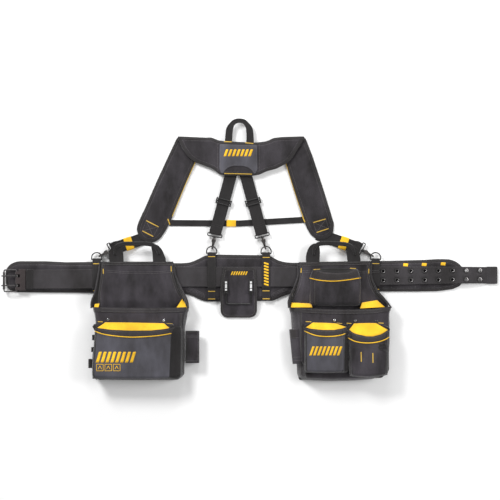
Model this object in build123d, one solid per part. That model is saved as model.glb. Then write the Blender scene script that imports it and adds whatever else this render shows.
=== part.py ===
"""Carpenter's suspension tool belt: padded belt, two pouches, hammer holder and padded braces.

The rig lies face up on the surface it rests on.  X runs along the belt from the buckle (-X) to the
tip (+X), Y runs from the pouches (-Y) to the shoulder yoke (+Y), and Z is up, out of the surface.
The origin is the middle of the back of the belt pad, on the surface.  All sizes are millimetres.
"""

from build123d import *
import math
import os

# ---------------------------------------------------------------- driving dimensions
WEB = 2.0                 # thickness of one layer of webbing
CLOTH = 2.4               # thickness of a pouch panel
BRACE_W = 37.0            # width of the brace webbing
GAP = 0.3                 # clearance between pieces that move past each other
FIT = 0.1                 # radial clearance of a pin in its bore

PAD_T = 12.0              # belt pad thickness
PAD_X0, PAD_X1 = -702.0, 678.0
STRAP_T = 3.5
STRAP_Z = 14.2            # underside of the belt strap, above the pad and the pouch tunnels
STRAP_X0, STRAP_X1 = -640.0, 780.0
STRAP_TOP = [(-640, 17), (-450, 18.5), (-160, 26), (160, 26), (440, 27), (676, 26), (780, 25)]
STRAP_FOOT = [(-640, -40), (-450, -39.5), (-160, -34), (160, -34), (440, -29), (676, -24), (780, -24)]
PANEL_Z = 20.6            # underside of a pouch panel where it passes over the belt

EYELET_X0, EYELET_PITCH, EYELET_COLUMNS, EYELET_ROWS_Y = 434.5, 41.6, 8, 13.8
EYELET_R, EYELET_HOLE_R = 7.6, 4.2

BUCKLE_Y, BUCKLE_BAR_X, BUCKLE_BAR_Z = -16.0, -667.0, 17.4
BUCKLE_H, BUCKLE_L, BUCKLE_WIRE_R = 65.0, 38.0, 2.0
PRONG_R, PRONG_SPREAD, ROLLER_R, ROLLER_L = 2.0, 14.5, 3.9, 52.0

RING_W, RING_RISER, RING_WIRE_R, RING_Z = 30.5, 6.0, 1.8, 10.0
RINGS = {                 # the middle of each D-ring's straight bar
    "front_left": (-427.0, 47.5),
    "back_left": (-81.0, 66.0),
    "back_right": (83.0, 66.0),
    "front_right": (412.5, 47.5),
}
TAB_W = 25.4
TAB_FOOT_Y = {"front_left": -49.0, "back_left": -74.0, "back_right": -74.0, "front_right": -46.0}

EYE_W, EYE_H, EYE_WIRE_R = 43.0, 9.0, 1.6
HOOK_L = 36.5
HOOK_SIDE = [(5, -4.4), (16, -7.4), (24, -8.5), (32, -6.8), (36.5, 0), (35.2, 5.4), (30.5, 8.2), (25, 7.4),
             (25.4, 5.2), (29.5, 5.0), (32.3, 0), (29.8, -4.6), (24, -5.4), (18, -3.8), (15.5, 1.7), (5, 1.7)]
GATE_PIVOT = (11.0, 4.4)  # along and above the hook's axis
HOOKS = {                 # swivel centre of each snap hook, and the way its hook points
    "front_left": (-389.5, 74.0, -151.5),
    "back_left": (-72.8, 114.0, -101.0),
    "back_right": (72.7, 113.5, -76.0),
    "front_right": (375.2, 74.3, -29.0),
}

POUCH_BOTTOM_Y = -316.0
POCKET_RIM_Y = -97.0
TRAVEL = 50.0             # how far a pouch slides inwards along the strap
MAIN_TOP_Z, FRONT_TOP_Z = 54.0, 78.0
UPPER_FOOT_T, UPPER_LEAN = 12.0, 8.0
FLOOR_GAP = 0.4

YOKE_Z0, YOKE_Z1 = 10.5, 19.5
SHOULDER_T = 9.0


# ---------------------------------------------------------------- shared helpers
def prism(points, z0, z1):
    """A straight-sided plate with that outline, from z0 to z1."""
    face = make_face(Polyline(*points, close=True))
    return extrude(Pos(0, 0, z0) * face, z1 - z0)


def slab(x0, x1, y0, y1, z0, z1):
    """A box between two corners."""
    return Pos((x0 + x1) / 2, (y0 + y1) / 2, (z0 + z1) / 2) * Box(x1 - x0, y1 - y0, z1 - z0)


def smooth(t):
    """Eases from 0 to 1."""
    t = max(0.0, min(1.0, t))
    return t * t * (3 - 2 * t)


def arc_points(cx, cy, r, start, end, steps=10):
    """Points on an arc, from one angle to another in degrees."""
    turns = [math.radians(start + (end - start) * i / steps) for i in range(steps + 1)]
    return [(cx + r * math.cos(a), cy + r * math.sin(a)) for a in turns]


def ribbon(points, thickness, width):
    """Webbing seen from its edge: points are (along, up), and it is as wide as width, across."""
    left, right = [], []
    for i, (x, z) in enumerate(points):
        before = points[max(i - 1, 0)]
        after = points[min(i + 1, len(points) - 1)]
        spans = []
        for (ax, az), (bx, bz) in ((before, (x, z)), ((x, z), after)):
            length = math.hypot(bx - ax, bz - az)
            if length > 1e-9:
                spans.append((-(bz - az) / length, (bx - ax) / length))
        nx = sum(n[0] for n in spans) / len(spans)
        nz = sum(n[1] for n in spans) / len(spans)
        reach = thickness / 2 / (nx * nx + nz * nz)
        left.append((x + nx * reach, 0, z + nz * reach))
        right.append((x - nx * reach, 0, z - nz * reach))
    face = make_face(Polyline(*left, *reversed(right), close=True))
    return extrude(face, width / 2, both=True)


def ring_of_wire(path, radius):
    """Round wire bent along a closed path."""
    start = path @ 0
    profile = Plane(origin=start, z_dir=path % 0) * Circle(radius)
    return sweep(profile, path=path)


def rod(start, end, radius):
    """A round bar between two points."""
    start, end = Vector(*start), Vector(*end)
    length = (end - start).length
    return Plane(origin=start, z_dir=end - start) * Cylinder(
        radius, length, align=(Align.CENTER, Align.CENTER, Align.MIN)
    )


def edge_at(line, x):
    """Y of an edge given as a list of corners, at that X."""
    for (x0, y0), (x1, y1) in zip(line, line[1:]):
        if x0 <= x <= x1:
            return y0 + (y1 - y0) * (x - x0) / (x1 - x0)
    return line[0][1] if x < line[0][0] else line[-1][1]


def write(name, shape):
    """One STEP file for one node."""
    export_step(shape, os.path.join("parts", name + ".step"))


def group(shapes):
    """Separate solids that share one node."""
    return Compound(children=[s.solid() for s in shapes])


# ---------------------------------------------------------------- the belt
def pad_edge(x, side):
    """The belt pad's edge: side +1 is the edge towards the yoke, -1 the edge towards the pouches."""
    away = abs(x)
    widening = smooth((165.0 - away) / 72.0)
    if side > 0:
        return 36.0 + 0.010 * away + (25.0 - 0.010 * away) * widening
    return -53.0 + 0.006 * away - 27.0 * widening


def belt_pad():
    """Foam back support, wide over the lumbar, with rounded ends."""
    stations = [320, 220, 180, 165, 156, 147, 138, 129, 120, 111, 102, 93, 80, 60, 30]
    left_end, right_end, r_left, r_right = PAD_X0, PAD_X1, 34.0, 42.0
    x_left, x_right = left_end + r_left, right_end - r_right
    top_xs = [x_left, -500, -400, *[-s for s in stations], 0, *reversed(stations), 400, 500, x_right]
    top = Spline(*[(x, pad_edge(x, 1)) for x in top_xs])
    bottom = Spline(*[(x, pad_edge(x, -1)) for x in reversed(top_xs)])
    right_round = Spline(
        top @ 1, (right_end - 10, 22), (right_end, -4), (right_end - 10, -30), bottom @ 0
    )
    left_round = Spline(
        bottom @ 1, (left_end + 8, -30), (left_end, -4), (left_end + 8, 24), top @ 0
    )
    return extrude(make_face([top, right_round, bottom, left_round]), PAD_T)


def strap_drop(x):
    """How far the strap's tip sinks towards the surface past the end of the pad."""
    return (STRAP_Z - 3.0) * smooth((x - 660.0) / 110.0)


def strap_line():
    """The strap's middle line, as (along, up)."""
    xs = [STRAP_X0, 640, *range(660, 771, 10), STRAP_X1]
    return [(x, STRAP_Z + STRAP_T / 2 - strap_drop(x)) for x in xs]


def eyelet_places():
    """Middle of each eyelet, with the strap's slope there in degrees."""
    for column in range(EYELET_COLUMNS):
        x = EYELET_X0 + column * EYELET_PITCH
        middle = (edge_at(STRAP_TOP, x) + edge_at(STRAP_FOOT, x)) / 2
        slope = math.degrees(math.atan((strap_drop(x + 1) - strap_drop(x - 1)) / 2))
        for y in (-EYELET_ROWS_Y, EYELET_ROWS_Y):
            yield (x, middle + y, STRAP_Z + STRAP_T / 2 - strap_drop(x)), slope


def belt_strap():
    """Two-ply belt strap with two rows of punched holes and a doubled tip."""
    strap = ribbon(strap_line(), STRAP_T, 90) & prism([*STRAP_TOP, *reversed(STRAP_FOOT)], -5, 40)
    tip_z = STRAP_Z + STRAP_T - strap_drop(STRAP_X1)
    strap += slab(STRAP_X1 - 34, STRAP_X1, -25.5, 26.5, tip_z - 1.0, tip_z + 1.6)
    for place, slope in eyelet_places():
        strap -= Location(place, (0, slope, 0)) * Cylinder(EYELET_HOLE_R + 0.9, STRAP_T * 3)
    return strap


def eyelet():
    """A rolled metal eyelet about the Z axis: a tube with a rounded flange above the strap."""
    tube = [(EYELET_HOLE_R, -1.9), (EYELET_HOLE_R + 0.8, -1.9), (EYELET_HOLE_R + 0.8, 1.95)]
    flange = [(EYELET_R, 1.95), (EYELET_R - 0.6, 2.8), (EYELET_HOLE_R + 0.9, 3.1)]
    outline = tube + flange + [(EYELET_HOLE_R, 2.6)]
    face = make_face(Polyline(*[(x, 0, z) for x, z in outline], close=True))
    return revolve(face, Axis.Z)


def belt_eyelets():
    """All the eyelets."""
    one = eyelet()
    return group([Location(place, (0, slope, 0)) * one for place, slope in eyelet_places()])


def belt_keeper():
    """Webbing loop round the strap beside the buckle tab."""
    x = STRAP_X0 + 12.0
    top, foot = edge_at(STRAP_TOP, x), edge_at(STRAP_FOOT, x)
    loop = sleeve(20, top - foot + 0.4, STRAP_T, 1.2)
    return Pos(x, (top + foot) / 2, STRAP_Z + STRAP_T / 2) * loop


def buckle_tab():
    """Heavy webbing folded round the buckle's bar and sewn to the strap, slotted for the prongs."""
    bend = BUCKLE_WIRE_R + 0.2 + WEB / 2
    bar = (BUCKLE_BAR_X, BUCKLE_BAR_Z)
    fold = arc_points(*bar, bend, 90, 270, 12)
    end_x = STRAP_X0 - 0.3
    path = [(end_x, bar[1] + bend), *fold, (end_x, bar[1] - bend)]
    tab = Pos(0, BUCKLE_Y, 0) * ribbon(path, WEB, BUCKLE_H - 9)
    for side in (-1, 1):
        y = BUCKLE_Y + side * PRONG_SPREAD
        tab -= Pos(BUCKLE_BAR_X - 1, y, BUCKLE_BAR_Z) * Box(16, 9.0, 20)
    return tab


# ---------------------------------------------------------------- the buckle
def buckle_frame():
    """Rectangular wire frame.  Its straight bar lies in the fold of the tab."""
    half = BUCKLE_H / 2
    path = FilletPolyline(
        (0, -half), (0, half), (-BUCKLE_L, half), (-BUCKLE_L, -half), radius=4, close=True
    )
    return Pos(BUCKLE_BAR_X, BUCKLE_Y, BUCKLE_BAR_Z) * ring_of_wire(path, BUCKLE_WIRE_R)


def buckle_roller():
    """Steel tube that turns on the frame's outer bar."""
    tube = Cylinder(ROLLER_R, ROLLER_L) - Cylinder(BUCKLE_WIRE_R + FIT, ROLLER_L + 2)
    place = (BUCKLE_BAR_X - BUCKLE_L, BUCKLE_Y, BUCKLE_BAR_Z)
    return Location(place, (90, 0, 0)) * tube


def buckle_prongs():
    """Two prongs that turn on the frame's bar and rest on the roller."""
    shapes = []
    for side in (-1, 1):
        y = BUCKLE_Y + side * PRONG_SPREAD
        eye = Cylinder(4.6, 4.6) - Cylinder(BUCKLE_WIRE_R + FIT, 6)
        eye = Location((BUCKLE_BAR_X, y, BUCKLE_BAR_Z), (90, 0, 0)) * eye
        tip_x = BUCKLE_BAR_X - BUCKLE_L - 5.5
        roller_top = BUCKLE_BAR_Z + ROLLER_R + PRONG_R + 0.4
        start = (BUCKLE_BAR_X - 3.4, y, BUCKLE_BAR_Z + 2.4)
        shank = rod(start, (tip_x, y, roller_top + 0.5), PRONG_R)
        shapes.append(eye + shank + Pos(tip_x, y, roller_top + 0.5) * Sphere(PRONG_R))
    return group(shapes)


# ---------------------------------------------------------------- D-rings, tabs and snap hooks
def d_ring(name):
    """Wire D-ring, lying flat, with its straight bar along X."""
    x, y = RINGS[name]
    half = RING_W / 2
    corner = 2.2
    bar = Line((-half + corner, 0), (half - corner, 0))
    right_bend = RadiusArc((half - corner, 0), (half, corner), -corner)
    right = Line((half, corner), (half, RING_RISER))
    bow = ThreePointArc((half, RING_RISER), (0, RING_RISER + half), (-half, RING_RISER))
    left = Line((-half, RING_RISER), (-half, corner))
    left_bend = RadiusArc((-half, corner), (-half + corner, 0), -corner)
    path = Wire([bar, right_bend, right, bow, left, left_bend])
    return Pos(x, y, RING_Z) * ring_of_wire(path, RING_WIRE_R)


def d_ring_tab(name):
    """Webbing that runs down the face of the belt and folds round the D-ring's bar."""
    x, y = RINGS[name]
    bend = RING_WIRE_R + 0.35 + WEB / 2
    over = STRAP_Z + STRAP_T + 0.3 + WEB / 2
    on_pad = PAD_T + 0.3 + WEB / 2
    fold = arc_points(y, RING_Z, bend, 90, -90, 12)
    belt_top, belt_foot = edge_at(STRAP_TOP, x) + 3.0, edge_at(STRAP_FOOT, x) - 2.0
    edge = pad_edge(x, 1)
    path = [(TAB_FOOT_Y[name], on_pad), (belt_foot - 4, on_pad), (belt_foot, over), (belt_top, over),
            (edge + 0.5, RING_Z + bend + 0.9), (y - 1, RING_Z + bend), *fold]
    tab = ribbon([*path, (edge + 1.2, RING_Z - bend)], WEB, TAB_W)
    return Location((x, 0, 0), (0, 0, 90)) * tab


def hook_place(name):
    """Where a snap hook's own frame lies: its X axis runs from the swivel to the hook's bow."""
    x, y, angle = HOOKS[name]
    return Location((x, y, RING_Z), (0, 0, angle))


def snap_eye(name):
    """Wire loop for the webbing, with the socket that the hook's pin turns in."""
    near, half = -3.0, EYE_W / 2
    far = near - EYE_H
    path = FilletPolyline((near, -half), (near, half), (far, half), (far, -half), radius=3.2, close=True)
    eye = ring_of_wire(path, EYE_WIRE_R)
    socket = Pos(-1.0, 0, 0) * Rot(0, 90, 0) * Cylinder(4.6, 6.4)
    bore = Pos(-1.0, 0, 0) * Rot(0, 90, 0) * Cylinder(2.2 + FIT, 9)
    return hook_place(name) * (eye + socket - bore)


def snap_hook(name):
    """Cast hook: rivet head and pin, collar, cheeks for the gate, and a bow."""
    pin = rod((-6.2, 0, 0), (3, 0, 0), 2.2) + rod((-6.2, 0, 0), (-4.9, 0, 0), 3.3)
    collar = rod((2.5, 0, 0), (6.5, 0, 0), 4.4)
    body = Rot(90, 0, 0) * extrude(make_face(Polyline(*HOOK_SIDE, close=True)), 4.6, both=True)
    body &= prism([(4, -4.6), (15, -4.6), (26, -2.6), (HOOK_L, -2.2), (HOOK_L, 2.2), (26, 2.6), (15, 4.6),
                   (4, 4.6)], -12, 12)
    u, v = GATE_PIVOT
    for y in (-3.7, 3.7):
        body += Pos(u, y, v - 1.3) * Box(6.4, 1.7, 5.8)
    body += rod((u, -4.5, v), (u, 4.5, v), 1.0)
    return hook_place(name) * (pin + collar + body)


def snap_gate(name):
    """Spring gate with a broad thumb plate, turning on the hook's cross pin."""
    u, v = GATE_PIVOT
    boss = Rot(90, 0, 0) * Cylinder(2.3, 5.0)
    arm = make_face(Polyline((u - 1, v + 1.2), (u - 1, v + 3.8), (u + 8, v + 3.8), (u + 14.2, v - 0.3),
                             (u + 14.2, v - 1.8), (u + 5, v + 0.6), close=True))
    arm = Rot(90, 0, 0) * extrude(arm, 2.3, both=True)
    plate = prism([(u - 6, -6.4), (u + 2, -6.0), (u + 8, -2.3), (u + 8, 2.3), (u + 2, 6.0), (u - 6, 6.4)],
                  v + 3.2, v + 4.6)
    bore = Pos(u, 0, v) * Rot(90, 0, 0) * Cylinder(1.0 + FIT, 7)
    return hook_place(name) * (Pos(u, 0, v) * boss + arm + plate - bore)


# ---------------------------------------------------------------- the braces
def brace_places():
    """Start, heading and length of each run of brace webbing; a run ends on its snap eye's far bar."""
    reach = EYE_FAR
    runs = {}
    for name, start in {
        "back_left": (-21.0, 310.0),
        "back_right": (19.5, 310.0),
        "front_left": (-285.0, 111.0),
        "front_right": (262.0, 116.0),
    }.items():
        x, y, angle = HOOKS[name]
        turn = math.radians(angle)
        end = (x - reach * math.cos(turn), y - reach * math.sin(turn))
        heading = math.degrees(math.atan2(end[1] - start[1], end[0] - start[0]))
        runs[name] = (start, heading, math.dist(start, end))
    return runs


EYE_FAR = EYE_H + 3.0     # from a hook's swivel centre back to its eye's far bar
BRACES = brace_places()
BACK_Z0, FRONT_Z0 = 6.0, 1.4
BACK_STRAIGHT, FRONT_FLAT = 108.0, 13.0
BEND_Z = EYE_WIRE_R + 0.4 + WEB / 2
RUN_SHORT = 6.0           # a run stops this far before the bar; the folded end carries on


def brace_frame(name):
    """A brace's own frame: X runs along the webbing towards its snap hook."""
    (x, y), heading, _ = BRACES[name]
    return Location((x, y, 0), (0, 0, heading))


def back_slope():
    """Degrees that a back brace climbs over its straight upper run."""
    return math.degrees(math.atan(2.0 / BACK_STRAIGHT))


def folded_end(name):
    """The end of a brace: it lies square to the snap eye and folds round its far bar."""
    back = EYE_FAR + 14.0
    fold = arc_points(-EYE_FAR, 0, BEND_Z, 90, -90, 12)
    return hook_place(name) * ribbon([(-back, BEND_Z), *fold, (-back, -BEND_Z)], WEB, BRACE_W)


def back_brace(name):
    """Webbing from the yoke, through the adjuster, round the snap eye and back under itself."""
    _, _, length = BRACES[name]
    upper = [(-4, BACK_Z0 - 0.1), (BACK_STRAIGHT, BACK_Z0 + 2.0), (length - RUN_SHORT, RING_Z + BEND_Z)]
    under = [(BACK_STRAIGHT + 6, BACK_Z0 - 0.8), (length - RUN_SHORT - 8, RING_Z - BEND_Z)]
    runs = ribbon(upper, WEB, BRACE_W) + ribbon(under, WEB, BRACE_W)
    return brace_frame(name) * runs + folded_end(name)


def front_slope(name):
    """Degrees that a front brace climbs towards its snap hook."""
    _, _, length = BRACES[name]
    return math.degrees(math.atan((RING_Z + BEND_Z - FRONT_Z0) / (length - RUN_SHORT - FRONT_FLAT)))


def front_brace(name):
    """Webbing from under the shoulder pad, round the snap eye and a little way back."""
    _, _, length = BRACES[name]
    path = [(-26, FRONT_Z0), (FRONT_FLAT, FRONT_Z0), (length - RUN_SHORT, RING_Z + BEND_Z)]
    return brace_frame(name) * ribbon(path, WEB, BRACE_W) + folded_end(name)


ADJUSTER_S, ADJUSTER_L, ADJUSTER_W = 92.0, 19.0, 48.0


def adjuster(name):
    """Tri-glide slider: two bars over the webbing, one bar under it, and two side rails."""
    half, bar_r = ADJUSTER_L / 2, 1.8
    lift = WEB / 2 + bar_r + GAP
    rail_y = ADJUSTER_W / 2 - 2
    body = None
    for side in (-1, 1):
        rail = Pos(0, side * rail_y, 0) * Box(ADJUSTER_L, 4, 2 * lift + 1.2)
        rail = fillet(rail.edges().filter_by(Axis.Y), 2.0)
        body = rail if body is None else body + rail
    for s, z in ((-half + bar_r + 0.4, lift), (half - bar_r - 0.4, lift), (0, -lift)):
        body += rod((s, -rail_y, z), (s, rail_y, z), bar_r)
    tilt = Location((ADJUSTER_S, 0, BACK_Z0 + ADJUSTER_S * 2.0 / BACK_STRAIGHT), (0, -back_slope(), 0))
    return brace_frame(name) * tilt * body


KEEPER_L = 24.0
KEEPER_S = {"front_left": 48.0, "front_right": 58.0}


def sleeve(length, width, thickness, wall):
    """A flat tube along X round webbing of that width and thickness."""
    outer = Box(length, width + 2 * (GAP + wall), thickness + 2 * (GAP + wall))
    return outer - Box(length + 2, width + 2 * GAP, thickness + 2 * GAP)


def front_keeper(name):
    """Elastic band round a front brace."""
    s = KEEPER_S[name]
    z = FRONT_Z0 + (s - FRONT_FLAT) * math.tan(math.radians(front_slope(name)))
    tilt = Location((s, 0, z), (0, -front_slope(name), 0))
    return brace_frame(name) * tilt * sleeve(KEEPER_L, BRACE_W, WEB, 1.1)


CHEST_Z, CHEST_W, CHEST_T = 2.2, 19.0, 1.8
CHEST_LEFT, CHEST_MID, CHEST_RIGHT = (-208.0, 158.0), (4.0, 156.5), (197.0, 167.5)


def chest_strap():
    """Two elastic straps across the chest, meeting inside the sliding keeper."""
    shapes = []
    for a, b in ((CHEST_LEFT, CHEST_MID), (CHEST_MID, CHEST_RIGHT)):
        length = math.dist(a, b)
        heading = math.degrees(math.atan2(b[1] - a[1], b[0] - a[0]))
        near, far = (0, length - 0.6) if a is CHEST_LEFT else (0.6, length)
        strip = slab(near, far, -CHEST_W / 2, CHEST_W / 2, -CHEST_T / 2, CHEST_T / 2)
        shapes.append(Location((a[0], a[1], CHEST_Z), (0, 0, heading)) * strip)
    return group(shapes)


CHEST_KEEPER_X, CHEST_KEEPER_L = -22.0, 28.0


def chest_keeper():
    """Elastic band that slides on the left chest strap."""
    run = (CHEST_KEEPER_X - CHEST_LEFT[0]) / (CHEST_MID[0] - CHEST_LEFT[0])
    y = CHEST_LEFT[1] + run * (CHEST_MID[1] - CHEST_LEFT[1])
    heading = math.degrees(math.atan2(CHEST_MID[1] - CHEST_LEFT[1], CHEST_MID[0] - CHEST_LEFT[0]))
    tube = sleeve(CHEST_KEEPER_L, CHEST_W, CHEST_T, 0.7)
    return Location((CHEST_KEEPER_X, y, CHEST_Z), (0, 0, heading)) * tube


def brace_recess(name):
    """Room under a shoulder pad's end for the front brace."""
    return brace_frame(name) * slab(-30, 80, -BRACE_W / 2 - 1, BRACE_W / 2 + 1, -1, FRONT_Z0 + WEB / 2 + 0.3)


SHOULDERS = {  # outer corner, inner corner, middle of the rounded end
    "left": ((-182.0, 412.0), (-122.0, 362.0), (-259.0, 141.0)),
    "right": ((197.0, 412.0), (134.0, 362.0), (246.5, 149.0)),
}
SHOULDER_W = 81.0


def shoulder_pad(side):
    """Padded brace: a straight band with a round lower end.  Its upper end lies under the yoke."""
    outer, inner, end = SHOULDERS[side]
    top = ((outer[0] + inner[0]) / 2, (outer[1] + inner[1]) / 2)
    heading = math.atan2(end[1] - outer[1], end[0] - outer[0])
    sign = 1 if side == "left" else -1
    across = (-math.sin(heading) * sign, math.cos(heading) * sign)
    half = SHOULDER_W / 2
    outer_end = (end[0] - across[0] * half, end[1] - across[1] * half)
    inner_end = (end[0] + across[0] * half, end[1] + across[1] * half)
    tip = (end[0] + math.cos(heading) * half, end[1] + math.sin(heading) * half)
    inner_top = (inner_end[0] + (top[0] - end[0]) * 0.93, inner_end[1] + (top[1] - end[1]) * 0.93)
    outer_top = (outer_end[0] + (top[0] - end[0]) * 1.0, outer_end[1] + (top[1] - end[1]) * 1.0)
    edges = [
        Line(outer_top, outer_end),
        ThreePointArc(outer_end, tip, inner_end),
        Line(inner_end, inner_top),
        Line(inner_top, outer_top),
    ]
    pad = extrude(make_face(edges), SHOULDER_T)
    cut_name = "front_" + side
    chest = Pos(0, 0, -1) * slab(CHEST_LEFT[0] - 4, CHEST_RIGHT[0] + 4, 140, 182, 0, CHEST_Z + CHEST_T + 0.4)
    return pad - brace_recess(cut_name) - chest


def yoke_outline():
    """The yoke, with a swept-back wing to each shoulder."""
    left_tip, right_tip = (-184.0, 418.0), (200.0, 418.0)
    top = Spline(left_tip, (-85, 415), (-45, 403.5), (8, 400), (62, 399), (105, 414), right_tip)
    right_hem = Spline(right_tip, (184, 388), (164, 354), (142, 335))
    right_low = Spline((142, 335), (95, 320), (62, 304), (40, 300))
    low = Line((40, 300), (-42, 301))
    left_low = Spline((-42, 301), (-72, 321), (-100, 330), (-130, 341))
    left_hem = Spline((-130, 341), (-150, 362), (-170, 390), left_tip)
    return make_face([top, right_hem, right_low, low, left_low, left_hem])


def yoke_body():
    """Padded yoke across the shoulder blades."""
    return extrude(Pos(0, 0, YOKE_Z0) * yoke_outline(), YOKE_Z1 - YOKE_Z0)


def yoke_panel():
    """Coated patch on the middle of the yoke, cut away over the brace ends."""
    z0 = YOKE_Z1 + 0.1
    patch = prism([(-56, 397), (54, 394), (56, 310), (44, 303), (-44, 304), (-56, 313)], z0, z0 + 1.6)
    return patch - Pos(-1, 300, z0) * Cylinder(30, 8)


def hanging_loop():
    """Webbing loop sewn to the yoke's top edge."""
    z0 = YOKE_Z0 + 2.0
    outer = [(-42, 396), (-40, 432), (-30, 452), (-4, 472), (12, 472), (36, 450), (46, 430), (46, 394)]
    inner = [(-18.5, 390), (-17, 455), (-6, 459), (12, 459), (24, 453), (22.5, 390)]
    top_edge = prism([(-60, 380), (60, 380), (60, 403), (-60, 406)], z0 - 9, z0 + 12)
    return prism(outer, z0, z0 + 3.0) - prism(inner, z0 - 1, z0 + 4) - top_edge


# ---------------------------------------------------------------- the hammer holder
HOLDER_X0, HOLDER_X1, HOLDER_TOP, HOLDER_FOOT = -53.0, 55.0, 21.0, -126.0
HOLDER_LINE = [(HOLDER_TOP, 19.6), (-44, 19.6), (-82, 14.4), (HOLDER_FOOT, 4.4)]
LOOP_X, LOOP_PIVOT_Y, LOOP_FOOT_Y, LOOP_R = 37.5, -52.0, -85.5, 2.2


def holder_top(y):
    """Height of the holder's face at a Y."""
    for (ya, za), (yb, zb) in zip(HOLDER_LINE, HOLDER_LINE[1:]):
        if yb <= y <= ya:
            return za + (zb - za) * (ya - y) / (ya - yb) + 1.5
    return HOLDER_LINE[-1][1] + 1.5


LOOP_PIVOT_Z = holder_top(LOOP_PIVOT_Y) + LOOP_R + 2.6
LOOP_FOOT_Z = holder_top(LOOP_FOOT_Y) + LOOP_R + 0.5


def hammer_holder():
    """Stiff backing that hangs on the strap, rounded at the foot."""
    sheet = Rot(0, 0, 90) * ribbon(HOLDER_LINE, 3.0, 240)
    outline = Polyline((-46, HOLDER_TOP), (50, HOLDER_TOP), (HOLDER_X1, -30), (HOLDER_X1, HOLDER_FOOT),
                       (HOLDER_X0, HOLDER_FOOT), (HOLDER_X0, -30), close=True)
    face = make_face(outline)
    corners = [v for v in face.vertices() if abs(v.Y - HOLDER_FOOT) < 0.1]
    face = fillet(corners, 12)
    return sheet & extrude(face, 60)


def hammer_loop():
    """Steel wire loop for a hammer's shaft, on a cross pin at the head of each leg."""
    head_z, foot_z = LOOP_PIVOT_Z, LOOP_FOOT_Z
    corner = 8.0
    run = math.hypot(LOOP_PIVOT_Y - LOOP_FOOT_Y, head_z - foot_z)
    path = FilletPolyline((-LOOP_X, 0), (-LOOP_X, -run), (LOOP_X, -run), (LOOP_X, 0), radius=corner)
    wire = sweep(Plane(origin=path @ 0, z_dir=path % 0) * Circle(LOOP_R), path=path)
    for side in (-1, 1):
        x = side * LOOP_X
        wire += rod((x - 6, 0, 0), (x + 6, 0, 0), LOOP_R)
    lean = math.degrees(math.atan2(head_z - foot_z, LOOP_PIVOT_Y - LOOP_FOOT_Y))
    return Location((0, LOOP_PIVOT_Y, head_z), (lean, 0, 0)) * wire


def loop_sleeves():
    """Two webbing straps sewn to the holder and folded round the loop's cross pins."""
    bend = LOOP_R + 0.35 + 0.7
    shapes = []
    for side in (-1, 1):
        fold = arc_points(LOOP_PIVOT_Y, LOOP_PIVOT_Z, bend, 90, 270, 12)
        face_z = holder_top(-14) + 0.9
        foot_z = holder_top(LOOP_PIVOT_Y + 9) + 0.9
        path = [(-10, face_z), (-18, face_z + 1.8), (LOOP_PIVOT_Y + 6, LOOP_PIVOT_Z + bend), *fold]
        path += [(LOOP_PIVOT_Y + 6, foot_z + 0.4), (LOOP_PIVOT_Y + 16, foot_z)]
        strap = Location((side * LOOP_X, 0, 0), (0, 0, 90)) * ribbon(path, 1.4, 13)
        slot = slab(-3.2, 3.2, LOOP_PIVOT_Y - 12, LOOP_PIVOT_Y + 3.5, LOOP_PIVOT_Z - 8, LOOP_PIVOT_Z + 8)
        shapes.append(strap - Pos(side * LOOP_X, 0, 0) * slot)
    return group(shapes)


# ---------------------------------------------------------------- the pouches
PANEL_LINE = [(60, PANEL_Z + CLOTH / 2), (-76, PANEL_Z + CLOTH / 2), (-150, FLOOR_GAP + CLOTH / 2),
              (-330, FLOOR_GAP + CLOTH / 2)]
POUCHES = {
    "left": {
        "panel": [(-408, 40), (-196, 40), (-190, -12), (-172, -50), (-147, -86), (-157, -112),
                  (-163, -298), (-180, -316), (-420, -316), (-440, -296), (-436, -230), (-428, -112),
                  (-438, -88), (-427, -60), (-417, -20)],
        "main": (-430, -158, -440, -164),
        "tunnel": (-398, -212),
        "handle": (-368, -238),
        "rivets": [(-390, -131), (-223, -134)],
    },
    "right": {
        "panel": [(184, 36), (393, 42), (401, -12), (416, -48), (456, -90), (454, -112),
                  (453, -286), (432, -308), (330, -316), (182, -316), (172, -230), (158, -112),
                  (147, -80), (166, -50), (181, -12)],
        "main": (158, 454, 180, 449),
        "tunnel": (200, 386),
        "handle": (222, 348),
        "rivets": [(287, -133), (349, -135), (412, -137)],
    },
}


def under_panel():
    """The space under the face of a pouch's back panel."""
    face = [(y, 0, z + CLOTH / 2 + 0.05) for y, z in PANEL_LINE]
    outline = make_face(Polyline((60, 0, -20), *face, (-330, 0, -20), close=True))
    return Rot(0, 0, 90) * extrude(outline, 900, both=True)


UNDER = under_panel()


def back_panel(side):
    """A pouch's back: it passes over the belt and comes down to the surface below it."""
    sheet = Rot(0, 0, 90) * ribbon(PANEL_LINE, CLOTH, 1800)
    return sheet & prism(POUCHES[side]["panel"], -5, 80)


def belt_tunnel(side):
    """Loop on a pouch's back that the belt strap runs through."""
    x0, x1 = POUCHES[side]["tunnel"]
    inward = TRAVEL if side == "left" else -TRAVEL
    spots = (x0, x1, x0 + inward, x1 + inward)
    y0 = min(edge_at(STRAP_FOOT, x) for x in spots) - 3.0
    y1 = max(edge_at(STRAP_TOP, x) for x in spots) + 3.0
    z0, z1 = PAD_T + 0.3, PANEL_Z - 0.05
    outer = slab(x0, x1, y0, y1, z0, z1)
    return outer - slab(x0 - 1, x1 + 1, y0 + 2, y1 - 2, z0 + 1.3, z1 + 1)


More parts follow.
